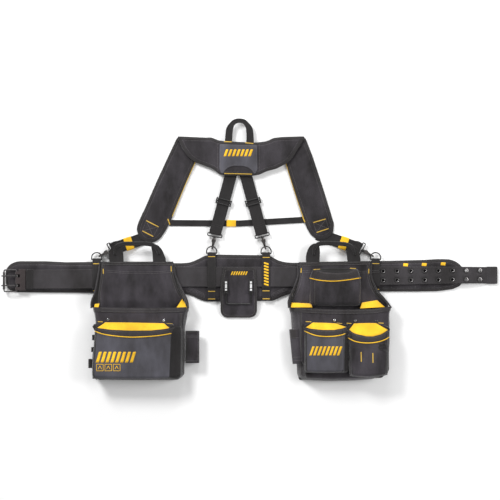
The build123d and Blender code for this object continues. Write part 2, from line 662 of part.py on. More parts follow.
def pocket(rim_x0, rim_x1, foot_x0, foot_x1, rim_y, foot_y, z0, z1, wall=CLOTH, corner=22.0):
    """A sewn box open towards +Y and at its back: front, two sides and a bottom."""

    def outline(inset, rim):
        points = [(rim_x0 + inset, rim), (rim_x1 - inset, rim), (foot_x1 - inset, foot_y + inset),
                  (foot_x0 + inset, foot_y + inset)]
        face = make_face(Polyline(*points, close=True))
        feet = [v for v in face.vertices() if v.Y < (rim + foot_y) / 2]
        return fillet(feet, corner - inset)

    outer = extrude(Pos(0, 0, z0) * outline(0, rim_y), z1 - z0)
    top_edges = [e for e in outer.edges() if e.center().Z > z1 - 0.1 and e.center().Y < rim_y - 1]
    outer = fillet(top_edges, 4.5)
    inner = extrude(Pos(0, 0, z0 - 1) * outline(wall, rim_y + 12), z1 - wall - z0 + 1)
    return outer - inner


def main_pocket(side):
    """The big pocket, sewn to the back panel."""
    box = pocket(*POUCHES[side]["main"], POCKET_RIM_Y, POUCH_BOTTOM_Y + 1, 0, MAIN_TOP_Z)
    return box - UNDER


def rivets(side):
    """Domed rivets through the main pocket's top band."""
    shapes = []
    for x, y in POUCHES[side]["rivets"]:
        dome = Pos(x, y, MAIN_TOP_Z + 0.1) * Cylinder(4.0, 1.4, align=(Align.CENTER, Align.CENTER, Align.MIN))
        shapes.append(fillet(dome.edges().sort_by(Axis.Z)[-1], 1.1))
    return group(shapes)


def handle(side):
    """Webbing handle: two flat legs that narrow into a folded grip over the brace."""
    left, right = POUCHES[side]["handle"]
    half, z0, t = 19.5, PANEL_Z + CLOTH + 0.1, 2.6
    grip_y0, grip_y1 = 87.0, 98.0
    z_foot = z0
    foot_y = 28.0
    legs = [
        prism([(x - half, foot_y), (x - half, 66), (x - half + tuck_left, 90), (x + half - tuck_right, 90),
               (x + half, 66), (x + half, foot_y)], z_foot, z_foot + t)
        for x, tuck_left, tuck_right in ((left, 12, 9), (right, 9, 12))
    ]
    grip = prism([(left - 8, grip_y0), (left - 2, grip_y1), (right + 2, grip_y1), (right + 8, grip_y0)],
                 z_foot, z_foot + 4.4)
    return legs[0] + legs[1] + grip


def tube_sleeve(x0, x1, y0, y1, z0, z1, wall=1.8):
    """A flat sleeve open at both ends, along Y."""
    outer = slab(x0, x1, y0, y1, z0, z1)
    return outer - slab(x0 + wall, x1 - wall, y0 - 1, y1 + 1, z0 + wall, z1 - wall)


def right_tool_sleeve():
    """Sleeve along the right pouch's slanted inner side."""
    rim_x, _, foot_x, _ = POUCHES["right"]["main"]
    slant = math.degrees(math.atan((foot_x - rim_x) / (POCKET_RIM_Y - POUCH_BOTTOM_Y - 1)))
    return Location((rim_x, POCKET_RIM_Y, 0), (0, 0, slant)) * tube_sleeve(-15, -0.1, -168, -64, 18, 42)


def upper_pocket():
    """Pocket on the right pouch's back panel: thin at its foot and open at the top."""
    on_panel = PANEL_Z + CLOTH + 0.05
    box = pocket(214, 368, 221, 364, 100, 0, -30, UPPER_FOOT_T)
    leaning = Location((0, -96, on_panel), (UPPER_LEAN, 0, 0)) * box
    return leaning - slab(180, 400, -130, 40, -60, on_panel)


def left_side_loops():
    """Three tool loops down the left pouch's outer side."""
    rim_x, _, foot_x, _ = POUCHES["left"]["main"]
    shapes = []
    for y, reach, length in ((-186, 9, 16), (-222, 6, 14), (-264, 10, 26)):
        along = (POCKET_RIM_Y - y + length / 2) / (POCKET_RIM_Y - POUCH_BOTTOM_Y - 1)
        x1 = rim_x + (foot_x - rim_x) * along - 0.1
        loop = slab(x1 - reach, x1, y - length / 2, y + length / 2, 16, 40)
        shapes.append(loop - slab(x1 - reach + 1.6, x1 + 1, y - length, y + length, 18, 38))
    return group(shapes)


def belt_size_tabs():
    """Three woven tabs on the pad, above the eyelets."""
    on_pad = PAD_T + 0.05
    return group([slab(x - 8, x + 8, y - 5, y + 5, on_pad, on_pad + 1.2)
                  for x, y in ((503, 31.5), (559, 32.5), (616, 34.5))])


# ---------------------------------------------------------------- every node
def nodes():
    """Yields each node's name and shape."""
    yield "belt_pad", belt_pad()
    yield "belt_strap", belt_strap()
    yield "belt_eyelets", belt_eyelets()
    yield "belt_keeper", belt_keeper()
    yield "belt_size_tabs", belt_size_tabs()
    yield "buckle_tab", buckle_tab()
    yield "buckle_frame", buckle_frame()
    yield "buckle_roller", buckle_roller()
    yield "buckle_prongs", buckle_prongs()
    for place in ("front", "back"):
        yield f"{place}_d_ring_tabs", group([d_ring_tab(f"{place}_{s}") for s in ("left", "right")])
        yield f"{place}_snap_eyes", group([snap_eye(f"{place}_{s}") for s in ("left", "right")])
    for name in RINGS:
        yield f"d_ring_{name}", d_ring(name)
        yield f"snap_hook_{name}", snap_hook(name)
        yield f"snap_gate_{name}", snap_gate(name)
    for side in ("left", "right"):
        yield f"back_brace_{side}", back_brace("back_" + side)
        yield f"adjuster_{side}", adjuster("back_" + side)
        yield f"front_brace_{side}", front_brace("front_" + side)
        yield f"front_keeper_{side}", front_keeper("front_" + side)
        yield f"shoulder_pad_{side}", shoulder_pad(side)
    yield "chest_strap", chest_strap()
    yield "chest_keeper", chest_keeper()
    yield "yoke_body", yoke_body()
    yield "yoke_panel", yoke_panel()
    yield "hanging_loop", hanging_loop()
    yield "hammer_holder", hammer_holder()
    yield "hammer_loop", hammer_loop()
    yield "hammer_loop_sleeves", loop_sleeves()
    for side in ("left", "right"):
        yield f"{side}_back_panel", back_panel(side)
        yield f"{side}_belt_tunnel", belt_tunnel(side)
        yield f"{side}_main_pocket", main_pocket(side)
        yield f"{side}_rivets", rivets(side)
        yield f"{side}_handle", handle(side)
    on_main = MAIN_TOP_Z + 0.05
    yield "left_front_pocket", pocket(-431, -196, -437, -203, -160, -309, on_main, FRONT_TOP_Z)
    yield "right_front_pocket_inner", pocket(196, 317, 195, 317, -160, -290, on_main, FRONT_TOP_Z)
    yield "right_front_pocket_outer", pocket(322, 450, 328, 447, -163, -300, on_main, FRONT_TOP_Z)
    yield "right_upper_pocket", upper_pocket()
    yield "left_tool_sleeve", tube_sleeve(-159.6, -117, -262, -166, 22, 40)
    yield "right_tool_sleeve", right_tool_sleeve()
    yield "left_side_loops", left_side_loops()


if __name__ == "__main__":
    os.makedirs("parts", exist_ok=True)
    for node_name, node_shape in nodes():
        write(node_name, node_shape)
        print(node_name, round(node_shape.volume))
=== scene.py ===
"""The carpenter's tool belt as seen: woven pads, sewn pouches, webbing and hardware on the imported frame.

Lengths in this script are millimetres until make() or MM turns them into metres.
"""

import math
import random

import bpy
import numpy as np
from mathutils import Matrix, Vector, noise
from mathutils.bvhtree import BVHTree
from mathutils.geometry import delaunay_2d_cdt


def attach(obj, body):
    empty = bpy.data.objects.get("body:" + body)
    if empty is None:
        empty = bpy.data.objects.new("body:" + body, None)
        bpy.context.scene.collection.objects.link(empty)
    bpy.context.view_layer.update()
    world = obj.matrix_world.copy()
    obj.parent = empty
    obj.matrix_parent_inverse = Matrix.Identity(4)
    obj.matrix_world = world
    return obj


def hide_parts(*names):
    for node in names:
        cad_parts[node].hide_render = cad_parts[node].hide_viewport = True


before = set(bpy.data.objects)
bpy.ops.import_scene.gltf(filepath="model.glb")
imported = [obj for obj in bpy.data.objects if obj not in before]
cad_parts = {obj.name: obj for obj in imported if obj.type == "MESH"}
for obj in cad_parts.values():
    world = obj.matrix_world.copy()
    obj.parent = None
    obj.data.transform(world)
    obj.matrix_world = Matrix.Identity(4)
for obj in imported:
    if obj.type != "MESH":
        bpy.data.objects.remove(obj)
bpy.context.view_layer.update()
random.seed(11)

MM = 0.001
ROOT = "belt_and_braces"
UP = np.array([0.0, 0.0, 1.0])


# ---------------------------------------------------------------- materials
class Nodes:
    """A few words for building a material's node tree."""

    def __init__(self, name):
        self.material = bpy.data.materials.new(name)
        self.material.use_nodes = True
        self.tree = self.material.node_tree
        self.tree.nodes.clear()
        self.out = self.add("ShaderNodeOutputMaterial")
        self.shader = self.add("ShaderNodeBsdfPrincipled")
        self.link(self.shader.outputs[0], self.out.inputs["Surface"])

    def add(self, kind, **values):
        node = self.tree.nodes.new(kind)
        for key, value in values.items():
            if hasattr(node, key):
                setattr(node, key, value)
            else:
                node.inputs[key].default_value = value
        return node

    def link(self, a, b):
        self.tree.links.new(a, b)

    def math(self, operation, a, b=None):
        node = self.add("ShaderNodeMath", operation=operation)
        for socket, value in zip(node.inputs, (a, b)):
            if value is None:
                continue
            if isinstance(value, (int, float)):
                socket.default_value = value
            else:
                self.link(value, socket)
        return node.outputs[0]

    def mix(self, factor, a, b, blend="MIX"):
        node = self.add("ShaderNodeMix", data_type="RGBA", blend_type=blend)
        for socket, value in ((node.inputs[0], factor), (node.inputs[6], a), (node.inputs[7], b)):
            if isinstance(value, (int, float)):
                socket.default_value = value
            elif isinstance(value, tuple):
                socket.default_value = (*value, 1.0)
            else:
                self.link(value, socket)
        return node.outputs[2]

    def ramp(self, factor, low, high):
        node = self.add("ShaderNodeMapRange")
        node.inputs["From Min"].default_value = low
        node.inputs["From Max"].default_value = high
        self.link(factor, node.inputs["Value"])
        return node.outputs[0]

    def noise(self, vector, scale, detail=3.0, rough=0.55):
        node = self.add("ShaderNodeTexNoise", Scale=scale, Detail=detail, Roughness=rough)
        self.link(vector, node.inputs["Vector"])
        return node.outputs["Fac"]

    def bump(self, height, strength, distance, normal=None):
        node = self.add("ShaderNodeBump", Strength=strength, Distance=distance)
        self.link(height, node.inputs["Height"])
        if normal is not None:
            self.link(normal, node.inputs["Normal"])
        return node.outputs[0]


def cloth(name, color, thread, contrast=0.55, ribs=None, sheen=0.25, roughness=0.88, dust=0.1, depth=0.35,
          sheen_mottle=0.25):
    """Woven cloth.  UVs are in millimetres, thread is a thread's width in them; ribs gives a ribbed tape.  Its colour
    holds painted shade in the weave's gaps and painted bluish sheen streaks.
    """
    n = Nodes(name)
    place = n.add("ShaderNodeTexCoord")
    uv, solid = place.outputs["UV"], place.outputs["Object"]
    wobble = n.add("ShaderNodeVectorMath", operation="ADD")
    jitter = n.add("ShaderNodeTexNoise", Scale=0.35, Detail=1.0)
    n.link(uv, jitter.inputs["Vector"])
    n.link(uv, wobble.inputs[0])
    n.link(jitter.outputs["Color"], wobble.inputs[1])
    uv = wobble.outputs[0]
    across = n.add("ShaderNodeTexWave", wave_type="BANDS", bands_direction="X")
    across.inputs["Scale"].default_value = 0.31416 / thread
    along = n.add("ShaderNodeTexWave", wave_type="BANDS", bands_direction="Y")
    along.inputs["Scale"].default_value = 0.31416 / (thread if ribs is None else ribs)
    check = n.add("ShaderNodeTexChecker", Scale=1.0 / thread)
    for node in (across, along, check):
        n.link(uv, node.inputs["Vector"])
    height = n.add("ShaderNodeMix", data_type="FLOAT")
    if ribs is None:
        n.link(check.outputs["Fac"], height.inputs[0])
    else:
        height.inputs[0].default_value = 0.7
    n.link(across.outputs["Fac"], height.inputs[2])
    n.link(along.outputs["Fac"], height.inputs[3])
    weave = height.outputs[0]
    # Streaks stretched along Y, some lighter and bluer: partly random tone, partly painted bluish sheen bands.
    stretch = n.add("ShaderNodeVectorMath", operation="MULTIPLY")
    stretch.inputs[1].default_value = (1.0, 0.45, 1.0)
    n.link(solid, stretch.inputs[0])
    sheen_streaks = n.ramp(n.noise(stretch.outputs[0], 17.0, 4.0), 0.32, 0.68)
    grime = n.ramp(n.noise(solid, 55.0, 5.0, 0.65), 0.5, 0.78)
    # Painted shade: the weave's gaps are darker and the thread tops a little lighter.
    dark = tuple(c * (1 - contrast) for c in color)
    weave_with_gap_shade = n.mix(weave, dark, tuple(min(1.0, c * (1 + contrast * 0.35)) for c in color))
    dim = tuple(1 - sheen_mottle * k for k in (1.0, 1.03, 1.03))
    lit = tuple(1 + sheen_mottle * k for k in (1.0, 1.03, 1.25))
    shade = n.mix(sheen_streaks, dim, lit)
    toned = n.mix(1.0, weave_with_gap_shade, shade, "MULTIPLY")
    pale = tuple(min(1.0, c * 0.8 + 0.05) for c in color)
    final = n.mix(n.math("MULTIPLY", grime, dust), toned, pale)
    n.link(final, n.shader.inputs["Base Color"])
    fibres = n.noise(solid, 900.0, 2.0)
    rough = n.math("ADD", n.math("MULTIPLY", fibres, 0.14), roughness - 0.1)
    n.link(rough, n.shader.inputs["Roughness"])
    crumple = n.bump(n.noise(solid, 38.0, 3.0), 0.12, 0.004)
    fuzz = n.bump(fibres, 0.12, 0.0006, crumple)
    n.link(n.bump(weave, depth, thread * 0.0005, fuzz), n.shader.inputs["Normal"])
    n.shader.inputs["Sheen Weight"].default_value = sheen
    n.shader.inputs["Sheen Roughness"].default_value = 0.45
    n.shader.inputs["Specular IOR Level"].default_value = 0.3
    return n.material


def metal(name, color, roughness, metallic=1.0, coat=0.0, wear=None, darker_past_x=()):
    """Plated or coated metal with fine scratches and worn spots.  Past each span along X that the last argument
    lists, it is darker.
    """
    n = Nodes(name)
    solid = n.add("ShaderNodeTexCoord").outputs["Object"]
    smudge = n.ramp(n.noise(solid, 120.0, 5.0, 0.6), 0.35, 0.7)
    tone = n.mix(smudge, tuple(c * 0.8 for c in color), color)
    if wear is not None:
        spots = n.ramp(n.noise(solid, 420.0, 4.0, 0.7), 0.62, 0.74)
        tone = n.mix(n.math("MULTIPLY", spots, 0.7), tone, wear)
    for start, end in darker_past_x:
        parts = n.add("ShaderNodeSeparateXYZ")
        n.link(solid, parts.inputs[0])
        tone = n.mix(n.ramp(parts.outputs[0], start, end), tone, (0.42, 0.42, 0.42), "MULTIPLY")
    n.link(tone, n.shader.inputs["Base Color"])
    rough = n.math("ADD", n.math("MULTIPLY", smudge, 0.12), roughness - 0.05)
    n.link(rough, n.shader.inputs["Roughness"])
    n.link(n.bump(n.noise(solid, 1400.0, 2.0), 0.06, 0.0004), n.shader.inputs["Normal"])
    n.shader.inputs["Metallic"].default_value = metallic
    n.shader.inputs["Coat Weight"].default_value = coat
    n.shader.inputs["Coat Roughness"].default_value = 0.25
    return n.material


def plain_floor():
    n = Nodes("studio_floor")
    solid = n.add("ShaderNodeTexCoord").outputs["Object"]
    tone = n.mix(n.ramp(n.noise(solid, 2.0), 0.3, 0.7), (0.95, 0.95, 0.95), (0.97, 0.97, 0.97))
    n.link(tone, n.shader.inputs["Base Color"])
    n.shader.inputs["Roughness"].default_value = 0.8
    return n.material


PAD = cloth("pad_cloth", (0.033, 0.029, 0.031), 1.3, sheen=0.26, sheen_mottle=0.65)
POUCH = cloth("pouch_cloth", (0.038, 0.033, 0.036), 1.1, sheen=0.4, sheen_mottle=0.8)
RIM = cloth("rim_cloth", (0.036, 0.031, 0.031), 0.9)
COATED = cloth("coated_cloth", (0.068, 0.066, 0.075), 0.6, contrast=0.2, sheen=0.15, roughness=0.58, dust=0.05,
               depth=0.15, sheen_mottle=0.4)
WEB = cloth("belt_webbing", (0.041, 0.037, 0.038), 1.5, ribs=0.75, sheen_mottle=0.4)
STRAP = cloth("brace_webbing", (0.022, 0.020, 0.020), 1.4, ribs=0.7)
TAPE = cloth("edge_tape", (0.034, 0.031, 0.031), 1.0, ribs=0.5, contrast=0.4)
# Near-black cloth for painted shade: pocket shells and mouth corners, gusset wings, the upper pocket's mouth.
SHADE_CLOTH = cloth("shadow_cloth", (0.016, 0.014, 0.014), 1.0)
LEATHER = cloth("tab_webbing", (0.044, 0.034, 0.033), 1.2, ribs=0.8, contrast=0.35)
YELLOW = cloth("yellow_cloth", (0.93, 0.53, 0.022), 0.8, contrast=0.25, sheen=0.2, dust=0.04, depth=0.2)
THREAD = cloth("grey_thread", (0.15, 0.14, 0.14), 0.35, contrast=0.3, sheen=0.1, depth=0.3)
DARK_THREAD = cloth("dark_thread", (0.055, 0.050, 0.050), 0.35, contrast=0.3, sheen=0.1, depth=0.3)
YELLOW_THREAD = cloth("yellow_thread", (0.72, 0.46, 0.07), 0.35, contrast=0.35, sheen=0.1, depth=0.3)
WHITE_THREAD = cloth("white_thread", (0.75, 0.75, 0.74), 0.35, contrast=0.2, sheen=0.1, depth=0.3)
BLACK_WIRE = metal("black_coated_wire", (0.030, 0.029, 0.029), 0.36, metallic=0.4, coat=0.25, wear=(0.2, 0.2, 0.2))
DARK_PLASTIC = metal("black_plastic", (0.018, 0.017, 0.017), 0.42, metallic=0.0, coat=0.1)
GUNMETAL = metal("gunmetal_plate", (0.16, 0.15, 0.145), 0.3, wear=(0.5, 0.48, 0.46))
EYELET = metal("dark_plate", (0.13, 0.125, 0.125), 0.24, metallic=0.95, wear=(0.5, 0.5, 0.5))
LEFT_RIVET = metal("left_rivet_plate", (0.85, 0.85, 0.86), 0.2, darker_past_x=((-0.3, -0.31),))
RIGHT_RIVET = metal("right_rivet_plate", (0.85, 0.85, 0.86), 0.2, darker_past_x=((0.31, 0.33), (0.37, 0.39)))
BUCKLE = metal("buckle_steel", (0.105, 0.10, 0.10), 0.33, metallic=0.85, wear=(0.38, 0.36, 0.35))


# ---------------------------------------------------------------- making meshes
def unit(v):
    return v / np.maximum(np.linalg.norm(v, axis=-1, keepdims=True), 1e-9)


class Piece:
    """One Blender object made of several lumps of mesh, in millimetres."""

    def __init__(self, name, body=ROOT, slot="webbing"):
        self.name, self.body, self.slot = name, body, slot
        self.points, self.faces, self.corners, self.looks, self.looks_of = [], [], [], [], []
        self.count = 0

    def add(self, mesh, look):
        points, faces, corners = mesh
        if look not in self.looks:
            self.looks.append(look)
        base, index = self.count, self.looks.index(look)
        self.points.append(np.asarray(points, float))
        self.count += len(points)
        for face, corner in zip(faces, corners):
            self.faces.append([base + i for i in face])
            self.corners.extend(corner)
            self.looks_of.append(index)

    def make(self, *replaced):
        points = np.concatenate(self.points)
        mesh = bpy.data.meshes.new(self.name)
        mesh.from_pydata((points * MM).tolist(), [], self.faces)
        uv = mesh.uv_layers.new(name="cloth")
        uv.data.foreach_set("uv", np.asarray(self.corners, np.float32).ravel())
        for look in self.looks:
            mesh.materials.append(look)
        mesh.polygons.foreach_set("material_index", self.looks_of)
        mesh.polygons.foreach_set("use_smooth", [True] * len(self.faces))
        mesh.update()
        obj = bpy.data.objects.new(self.name, mesh)
        bpy.context.scene.collection.objects.link(obj)
        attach(obj, self.body)
        if replaced:
            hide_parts(*replaced)
        self.object = obj
        return obj

    def tree(self):
        return BVHTree.FromPolygons(np.concatenate(self.points).tolist(), self.faces)


def lengths_along(line):
    """How far along a line each of its points is."""
    return np.concatenate([[0], np.cumsum(np.linalg.norm(np.diff(line, axis=0), axis=1))])


def read_at(spots, lengths, values):
    """Values at those lengths along a line: a row for each spot."""
    return np.column_stack([np.interp(spots, lengths, column) for column in values.T])


def resample(points, step, closed=False):
    """Evenly spaced points along a line."""
    points = np.asarray(points, float)
    if closed:
        points = np.vstack([points, points[:1]])
    lengths = lengths_along(points)
    count = max(2, int(round(lengths[-1] / step)))
    spots = np.linspace(0, lengths[-1], count + 1)
    if closed:
        spots = spots[:-1]
    return read_at(spots, lengths, points)


def soften(points, rounds=2, closed=False):
    """Cuts corners until a line of straight runs is smooth."""
    points = np.asarray(points, float)
    for _ in range(rounds):
        after = np.roll(points, -1, axis=0) if closed else points[1:]
        before = points if closed else points[:-1]
        quarter, three = before * 0.75 + after * 0.25, before * 0.25 + after * 0.75
        new = np.empty((len(quarter) * 2, points.shape[1]))
        new[0::2], new[1::2] = quarter, three
        points = new if closed else np.vstack([points[:1], new, points[-1:]])
    return points


def split_corners(points):
    """Adds points beside each corner of a closed outline, so that softening rounds only the corner."""
    points = np.asarray(points, float)
    reach, result = 9.0, []
    for a, b in zip(points, np.roll(points, -1, axis=0)):
        length = np.linalg.norm(b - a)
        result.append(a)
        if length > reach * 2.6:
            result += [a + (b - a) * reach / length, b - (b - a) * reach / length]
    return np.array(result)


def curve(points, step=4.0, rounds=2, closed=False):
    return resample(soften(split_corners(points) if closed else points, rounds, closed), step, closed)


def ease(t):
    t = np.clip(t, 0.0, 1.0)
    return t * t * (3 - 2 * t)


def distance_to(points, loop):
    """How far each point is from a closed line."""
    best = np.full(len(points), 1e9)
    run = np.roll(loop, -1, axis=0) - loop
    size = np.maximum((run ** 2).sum(1), 1e-9)
    for start, step, length in zip(loop, run, size):
        t = np.clip(((points - start) @ step) / length, 0, 1)
        best = np.minimum(best, np.linalg.norm(points - (start + t[:, None] * step), axis=1))
    return best


def inside(points, loop):
    """Whether each point is within a closed line."""
    x, y = points[:, 0], points[:, 1]
    result = np.zeros(len(points), bool)
    for (x0, y0), (x1, y1) in zip(loop, np.roll(loop, -1, axis=0)):
        crosses = (y0 > y) != (y1 > y)
        with np.errstate(divide="ignore", invalid="ignore"):
            result ^= crosses & (x < (x1 - x0) * (y - y0) / (y1 - y0) + x0)
    return result


def area(loop):
    x, y = loop[:, 0], loop[:, 1]
    return 0.5 * float(np.sum(x * np.roll(y, -1) - y * np.roll(x, -1)))


def ring_inside(loop, depth):
    """The closed line moved inwards, without the points that fold over."""
    tangent = unit(np.roll(loop, -1, axis=0) - np.roll(loop, 1, axis=0))
    inward = np.column_stack([-tangent[:, 1], tangent[:, 0]]) * (1 if area(loop) > 0 else -1)
    moved = loop + inward * depth
    return moved[distance_to(moved, loop) > depth * 0.93]


def fill(outline, step, holes=(), rings=()):
    """Points and triangles inside an outline, with finer rows along its edge."""
    loops = [outline, *holes]
    points, edges = [], []
    for loop in loops:
        start = len(points)
        points.extend(map(tuple, loop))
        edges.extend((start + i, start + (i + 1) % len(loop)) for i in range(len(loop)))
    low, high = outline.min(0), outline.max(0)
    rows = np.arange(low[1] + step / 2, high[1], step * 0.87)
    grid = np.array([(x + (step / 2 if k % 2 else 0), y) for k, y in enumerate(rows)
                     for x in np.arange(low[0] + step / 2, high[0], step)])
    reach = max([step * 0.5, *[r + step * 0.35 for r in rings]])
    near = np.min([distance_to(grid, loop) for loop in loops], axis=0)
    keep = inside(grid, outline) & (near > reach)
    for hole in holes:
        keep &= ~inside(grid, hole)
    points.extend(map(tuple, grid[keep]))
    for depth in rings:
        line = ring_inside(outline, depth)
        for hole in holes:
            line = line[~inside(line, hole) & (distance_to(line, hole) > step * 0.3)]
        points.extend(map(tuple, line))
    made = delaunay_2d_cdt([Vector(p) for p in points], edges, [], 1, 1e-3)
    spots = np.array([tuple(v) for v in made[0]])
    triangles = [list(t) for t in made[2]]
    middles = np.array([spots[t].mean(0) for t in triangles])
    good = inside(middles, outline)
    for hole in holes:
        good &= ~inside(middles, hole)
    return spots, [t for t, ok in zip(triangles, good) if ok]


def panel(outline, top, bottom, step=6.0, holes=(), rings=(1.2, 3.0, 6.0), turn=0.0):
    """A closed sheet or pad: top and bottom give heights from (points, distance to the edge)."""
    spots, triangles = fill(outline, step, holes, rings)
    depth = np.min([distance_to(spots, loop) for loop in (outline, *holes)], axis=0)
    depth[depth < 1e-2] = 0.0
    upper = np.column_stack([spots, top(spots, depth)])
    lower = np.column_stack([spots, bottom(spots, depth)])
    faces, border = [], {}
    n = len(spots)
    for t in triangles:
        a, b, c = spots[t]
        if (b[0] - a[0]) * (c[1] - a[1]) - (b[1] - a[1]) * (c[0] - a[0]) < 0:
            t = t[::-1]
        faces.append(t)
        faces.append([n + i for i in t[::-1]])
        for i, j in zip(t, t[1:] + t[:1]):
            border[(i, j)] = True
    for i, j in list(border):
        if (j, i) not in border:
            faces.append([j, i, n + i, n + j])
    cos, sin = math.cos(turn), math.sin(turn)
    uv = np.column_stack([spots[:, 0] * cos + spots[:, 1] * sin, -spots[:, 0] * sin + spots[:, 1] * cos])
    corners = [[tuple(uv[i % n]) for i in face] for face in faces]
    return np.vstack([upper, lower]), faces, corners


def sweep(path, ups, profile, closed=False, caps=True):
    """Carries a closed profile of (side, up) points along a path; a list of profiles may vary along it."""
    path = np.asarray(path, float)
    count = len(path)
    if closed:
        tangent = unit(np.roll(path, -1, axis=0) - np.roll(path, 1, axis=0))
    else:
        tangent = unit(np.gradient(path, axis=0))
    ups = np.broadcast_to(np.asarray(ups, float), path.shape)
    side = unit(np.cross(tangent, ups))
    rise = unit(np.cross(side, tangent))
    profile = np.asarray(profile, float)
    if profile.ndim == 2:
        profile = np.broadcast_to(profile, (count, *profile.shape))
    around = profile.shape[1]
    points = (path[:, None] + side[:, None] * profile[:, :, :1] + rise[:, None] * profile[:, :, 1:2]).reshape(-1, 3)
    steps = np.linalg.norm(np.diff(path, axis=0, append=path[:1]), axis=1)
    u = np.concatenate([[0], np.cumsum(steps)])
    first = profile[0]
    v = np.concatenate([[0], np.cumsum(np.linalg.norm(np.roll(first, -1, axis=0) - first, axis=1))])
    faces, corners = [], []
    for i in range(count if closed else count - 1):
        j = (i + 1) % count
        for k in range(around):
            m = (k + 1) % around
            faces.append([i * around + k, i * around + m, j * around + m, j * around + k])
            corners.append([(u[i], v[k]), (u[i], v[k + 1]), (u[i + 1], v[k + 1]), (u[i + 1], v[k])])
    if caps and not closed:
        last = (count - 1) * around
        for ring in (list(range(around))[::-1], [last + k for k in range(around)]):
            faces.append(ring)
            corners.append([(p[0], p[1]) for p in first])
    return points, faces, corners


def round_profile(radius, sides=10):
    angles = [2 * math.pi * k / sides for k in range(sides)]
    return [(-radius * math.cos(a), radius * math.sin(a)) for a in angles]


def web_profile(width, thickness):
    """Webbing's section: flat, with a slightly thicker rounded selvedge."""
    h, t = width / 2, thickness / 2
    half = [(-h, 0.3 * t), (-h + 0.5, t), (-h + 1.8, t * 1.02), (-h + 2.6, t * 0.82), (0, t * 0.9),
            (h - 2.6, t * 0.82), (h - 1.8, t * 1.02), (h - 0.5, t), (h, 0.3 * t)]
    return half + [(s, -z) for s, z in reversed(half)]


def open_tube(path, outer, inner, up=(0, 0, 1)):
    """A sleeve open at both ends: outer and inner skins joined round the ends."""
    a = sweep(path, up, outer, caps=False)
    b = sweep(path, up, inner, caps=False)
    n, m = len(a[0]), len(outer)
    faces = a[1] + [[n + i for i in reversed(f)] for f in b[1]]
    corners = a[2] + [list(reversed(c)) for c in b[2]]
    for start, flip in ((0, False), (n - m, True)):
        for k in range(m):
            j = (k + 1) % m
            face = [start + k, n + start + k, n + start + j, start + j]
            faces.append(face[::-1] if flip else face)
            corners.append([(0, 0), (1.5, 0), (1.5, 2), (0, 2)])
    return np.vstack([a[0], b[0]]), faces, corners


def rounded(outline):
    """A closed profile with its corners cut."""
    return [tuple(p) for p in soften(np.array(outline, float), 1, True)]


def surface_of(*pieces):
    """One surface for several pieces, to lay cloth and stitches on."""
    points, faces, base = [], [], 0
    for piece in pieces:
        lump = np.concatenate(piece.points)
        points.append(lump)
        faces.extend([[base + i for i in f] for f in piece.faces])
        base += len(lump)
    return BVHTree.FromPolygons(np.concatenate(points).tolist(), faces)


def drape(line, tree, lift=0.0):
    """Drops a line of (x, y) onto a surface: points and the surface's normals there.

    A point beside the surface keeps the height of the nearest point of the line that is on it."""
    heights, normals = [], []
    for x, y in line:
        hit, normal, _, _ = tree.ray_cast(Vector((x, y, 300.0)), Vector((0, 0, -1)))
        heights.append(np.nan if hit is None else hit.z)
        normals.append((0, 0, 1) if hit is None else tuple(normal if normal.z > 0 else -normal))
    heights, places = np.array(heights), np.arange(len(heights))
    found = ~np.isnan(heights)
    if found.any():
        heights = np.interp(places, places[found], heights[found])
    else:
        heights = np.zeros(len(heights))
    return np.column_stack([np.asarray(line, float)[:, :2], heights + lift]), np.array(normals)


def calm(values, rounds=3):
    """Evens out a line of points, so that tape laid over bumps doesn't kink."""
    values = np.array(values, float)
    for _ in range(rounds):
        values[1:-1] = (values[:-2] + 2 * values[1:-1] + values[2:]) / 4
    return values


def stitches(path, normals, pitch=4.4, length=3.1, width=0.95, height=0.5):
    """A row of sewn stitches lying on a surface."""
    path, normals = np.asarray(path, float), np.asarray(normals, float)
    lengths = lengths_along(path)
    spots = np.arange(pitch / 2, lengths[-1], pitch)
    points, faces, corners = [], [], []
    for spot in spots:
        jitter = random.uniform(-0.12, 0.12)
        ends = []
        for s in (spot - length / 2, spot - length * 0.28, spot + length * 0.28, spot + length / 2):
            s = min(max(s + jitter, 0), lengths[-1])
            ends.append(np.array([np.interp(s, lengths, path[:, k]) for k in range(3)]))
        normal = unit(np.array([np.interp(spot, lengths, normals[:, k]) for k in range(3)]))
        tangent = unit(ends[3] - ends[0])
        side = np.cross(tangent, normal)
        base = len(points)
        points.append(ends[0] - normal * 0.15)
        for middle in ends[1:3]:
            for s, z in ((-0.5, -0.1), (-0.35, 0.75), (0, 1.0), (0.35, 0.75), (0.5, -0.1)):
                points.append(middle + side * s * width + normal * z * height)
        points.append(ends[3] - normal * 0.15)
        a, b = base + 1, base + 6
        for k in range(4):
            faces.append([a + k, a + k + 1, b + k + 1, b + k])
            corners.append([(0, k * 0.3), (0, k * 0.3 + 0.3), (length, k * 0.3 + 0.3), (length, k * 0.3)])
            faces.append([base, a + k + 1, a + k])
            corners.append([(0, 0), (0.4, 0.3), (0.4, 0)])
            faces.append([base + 11, b + k, b + k + 1])
            corners.append([(0, 0), (0.4, 0), (0.4, 0.3)])
    return points, faces, corners


def satin(path, normals, width):
    """A bar tack: a tight row of threads across its line."""
    lengths = lengths_along(path)
    height, pitch = 0.9, 0.8
    spots = np.arange(0, lengths[-1], pitch / 2)
    line, ups = read_at(spots, lengths, path), read_at(spots, lengths, normals)
    profiles = []
    for k in range(len(spots)):
        swell = (1.0 if k % 2 else 0.72) * (1 + random.uniform(-0.06, 0.06))
        w, h = width / 2 * (0.94 + 0.06 * swell), height * swell
        profiles.append([(-w, -0.3), (-w * 0.8, h * 0.7), (0, h), (w * 0.8, h * 0.7), (w, -0.3)])
    return sweep(line, ups, np.array(profiles))


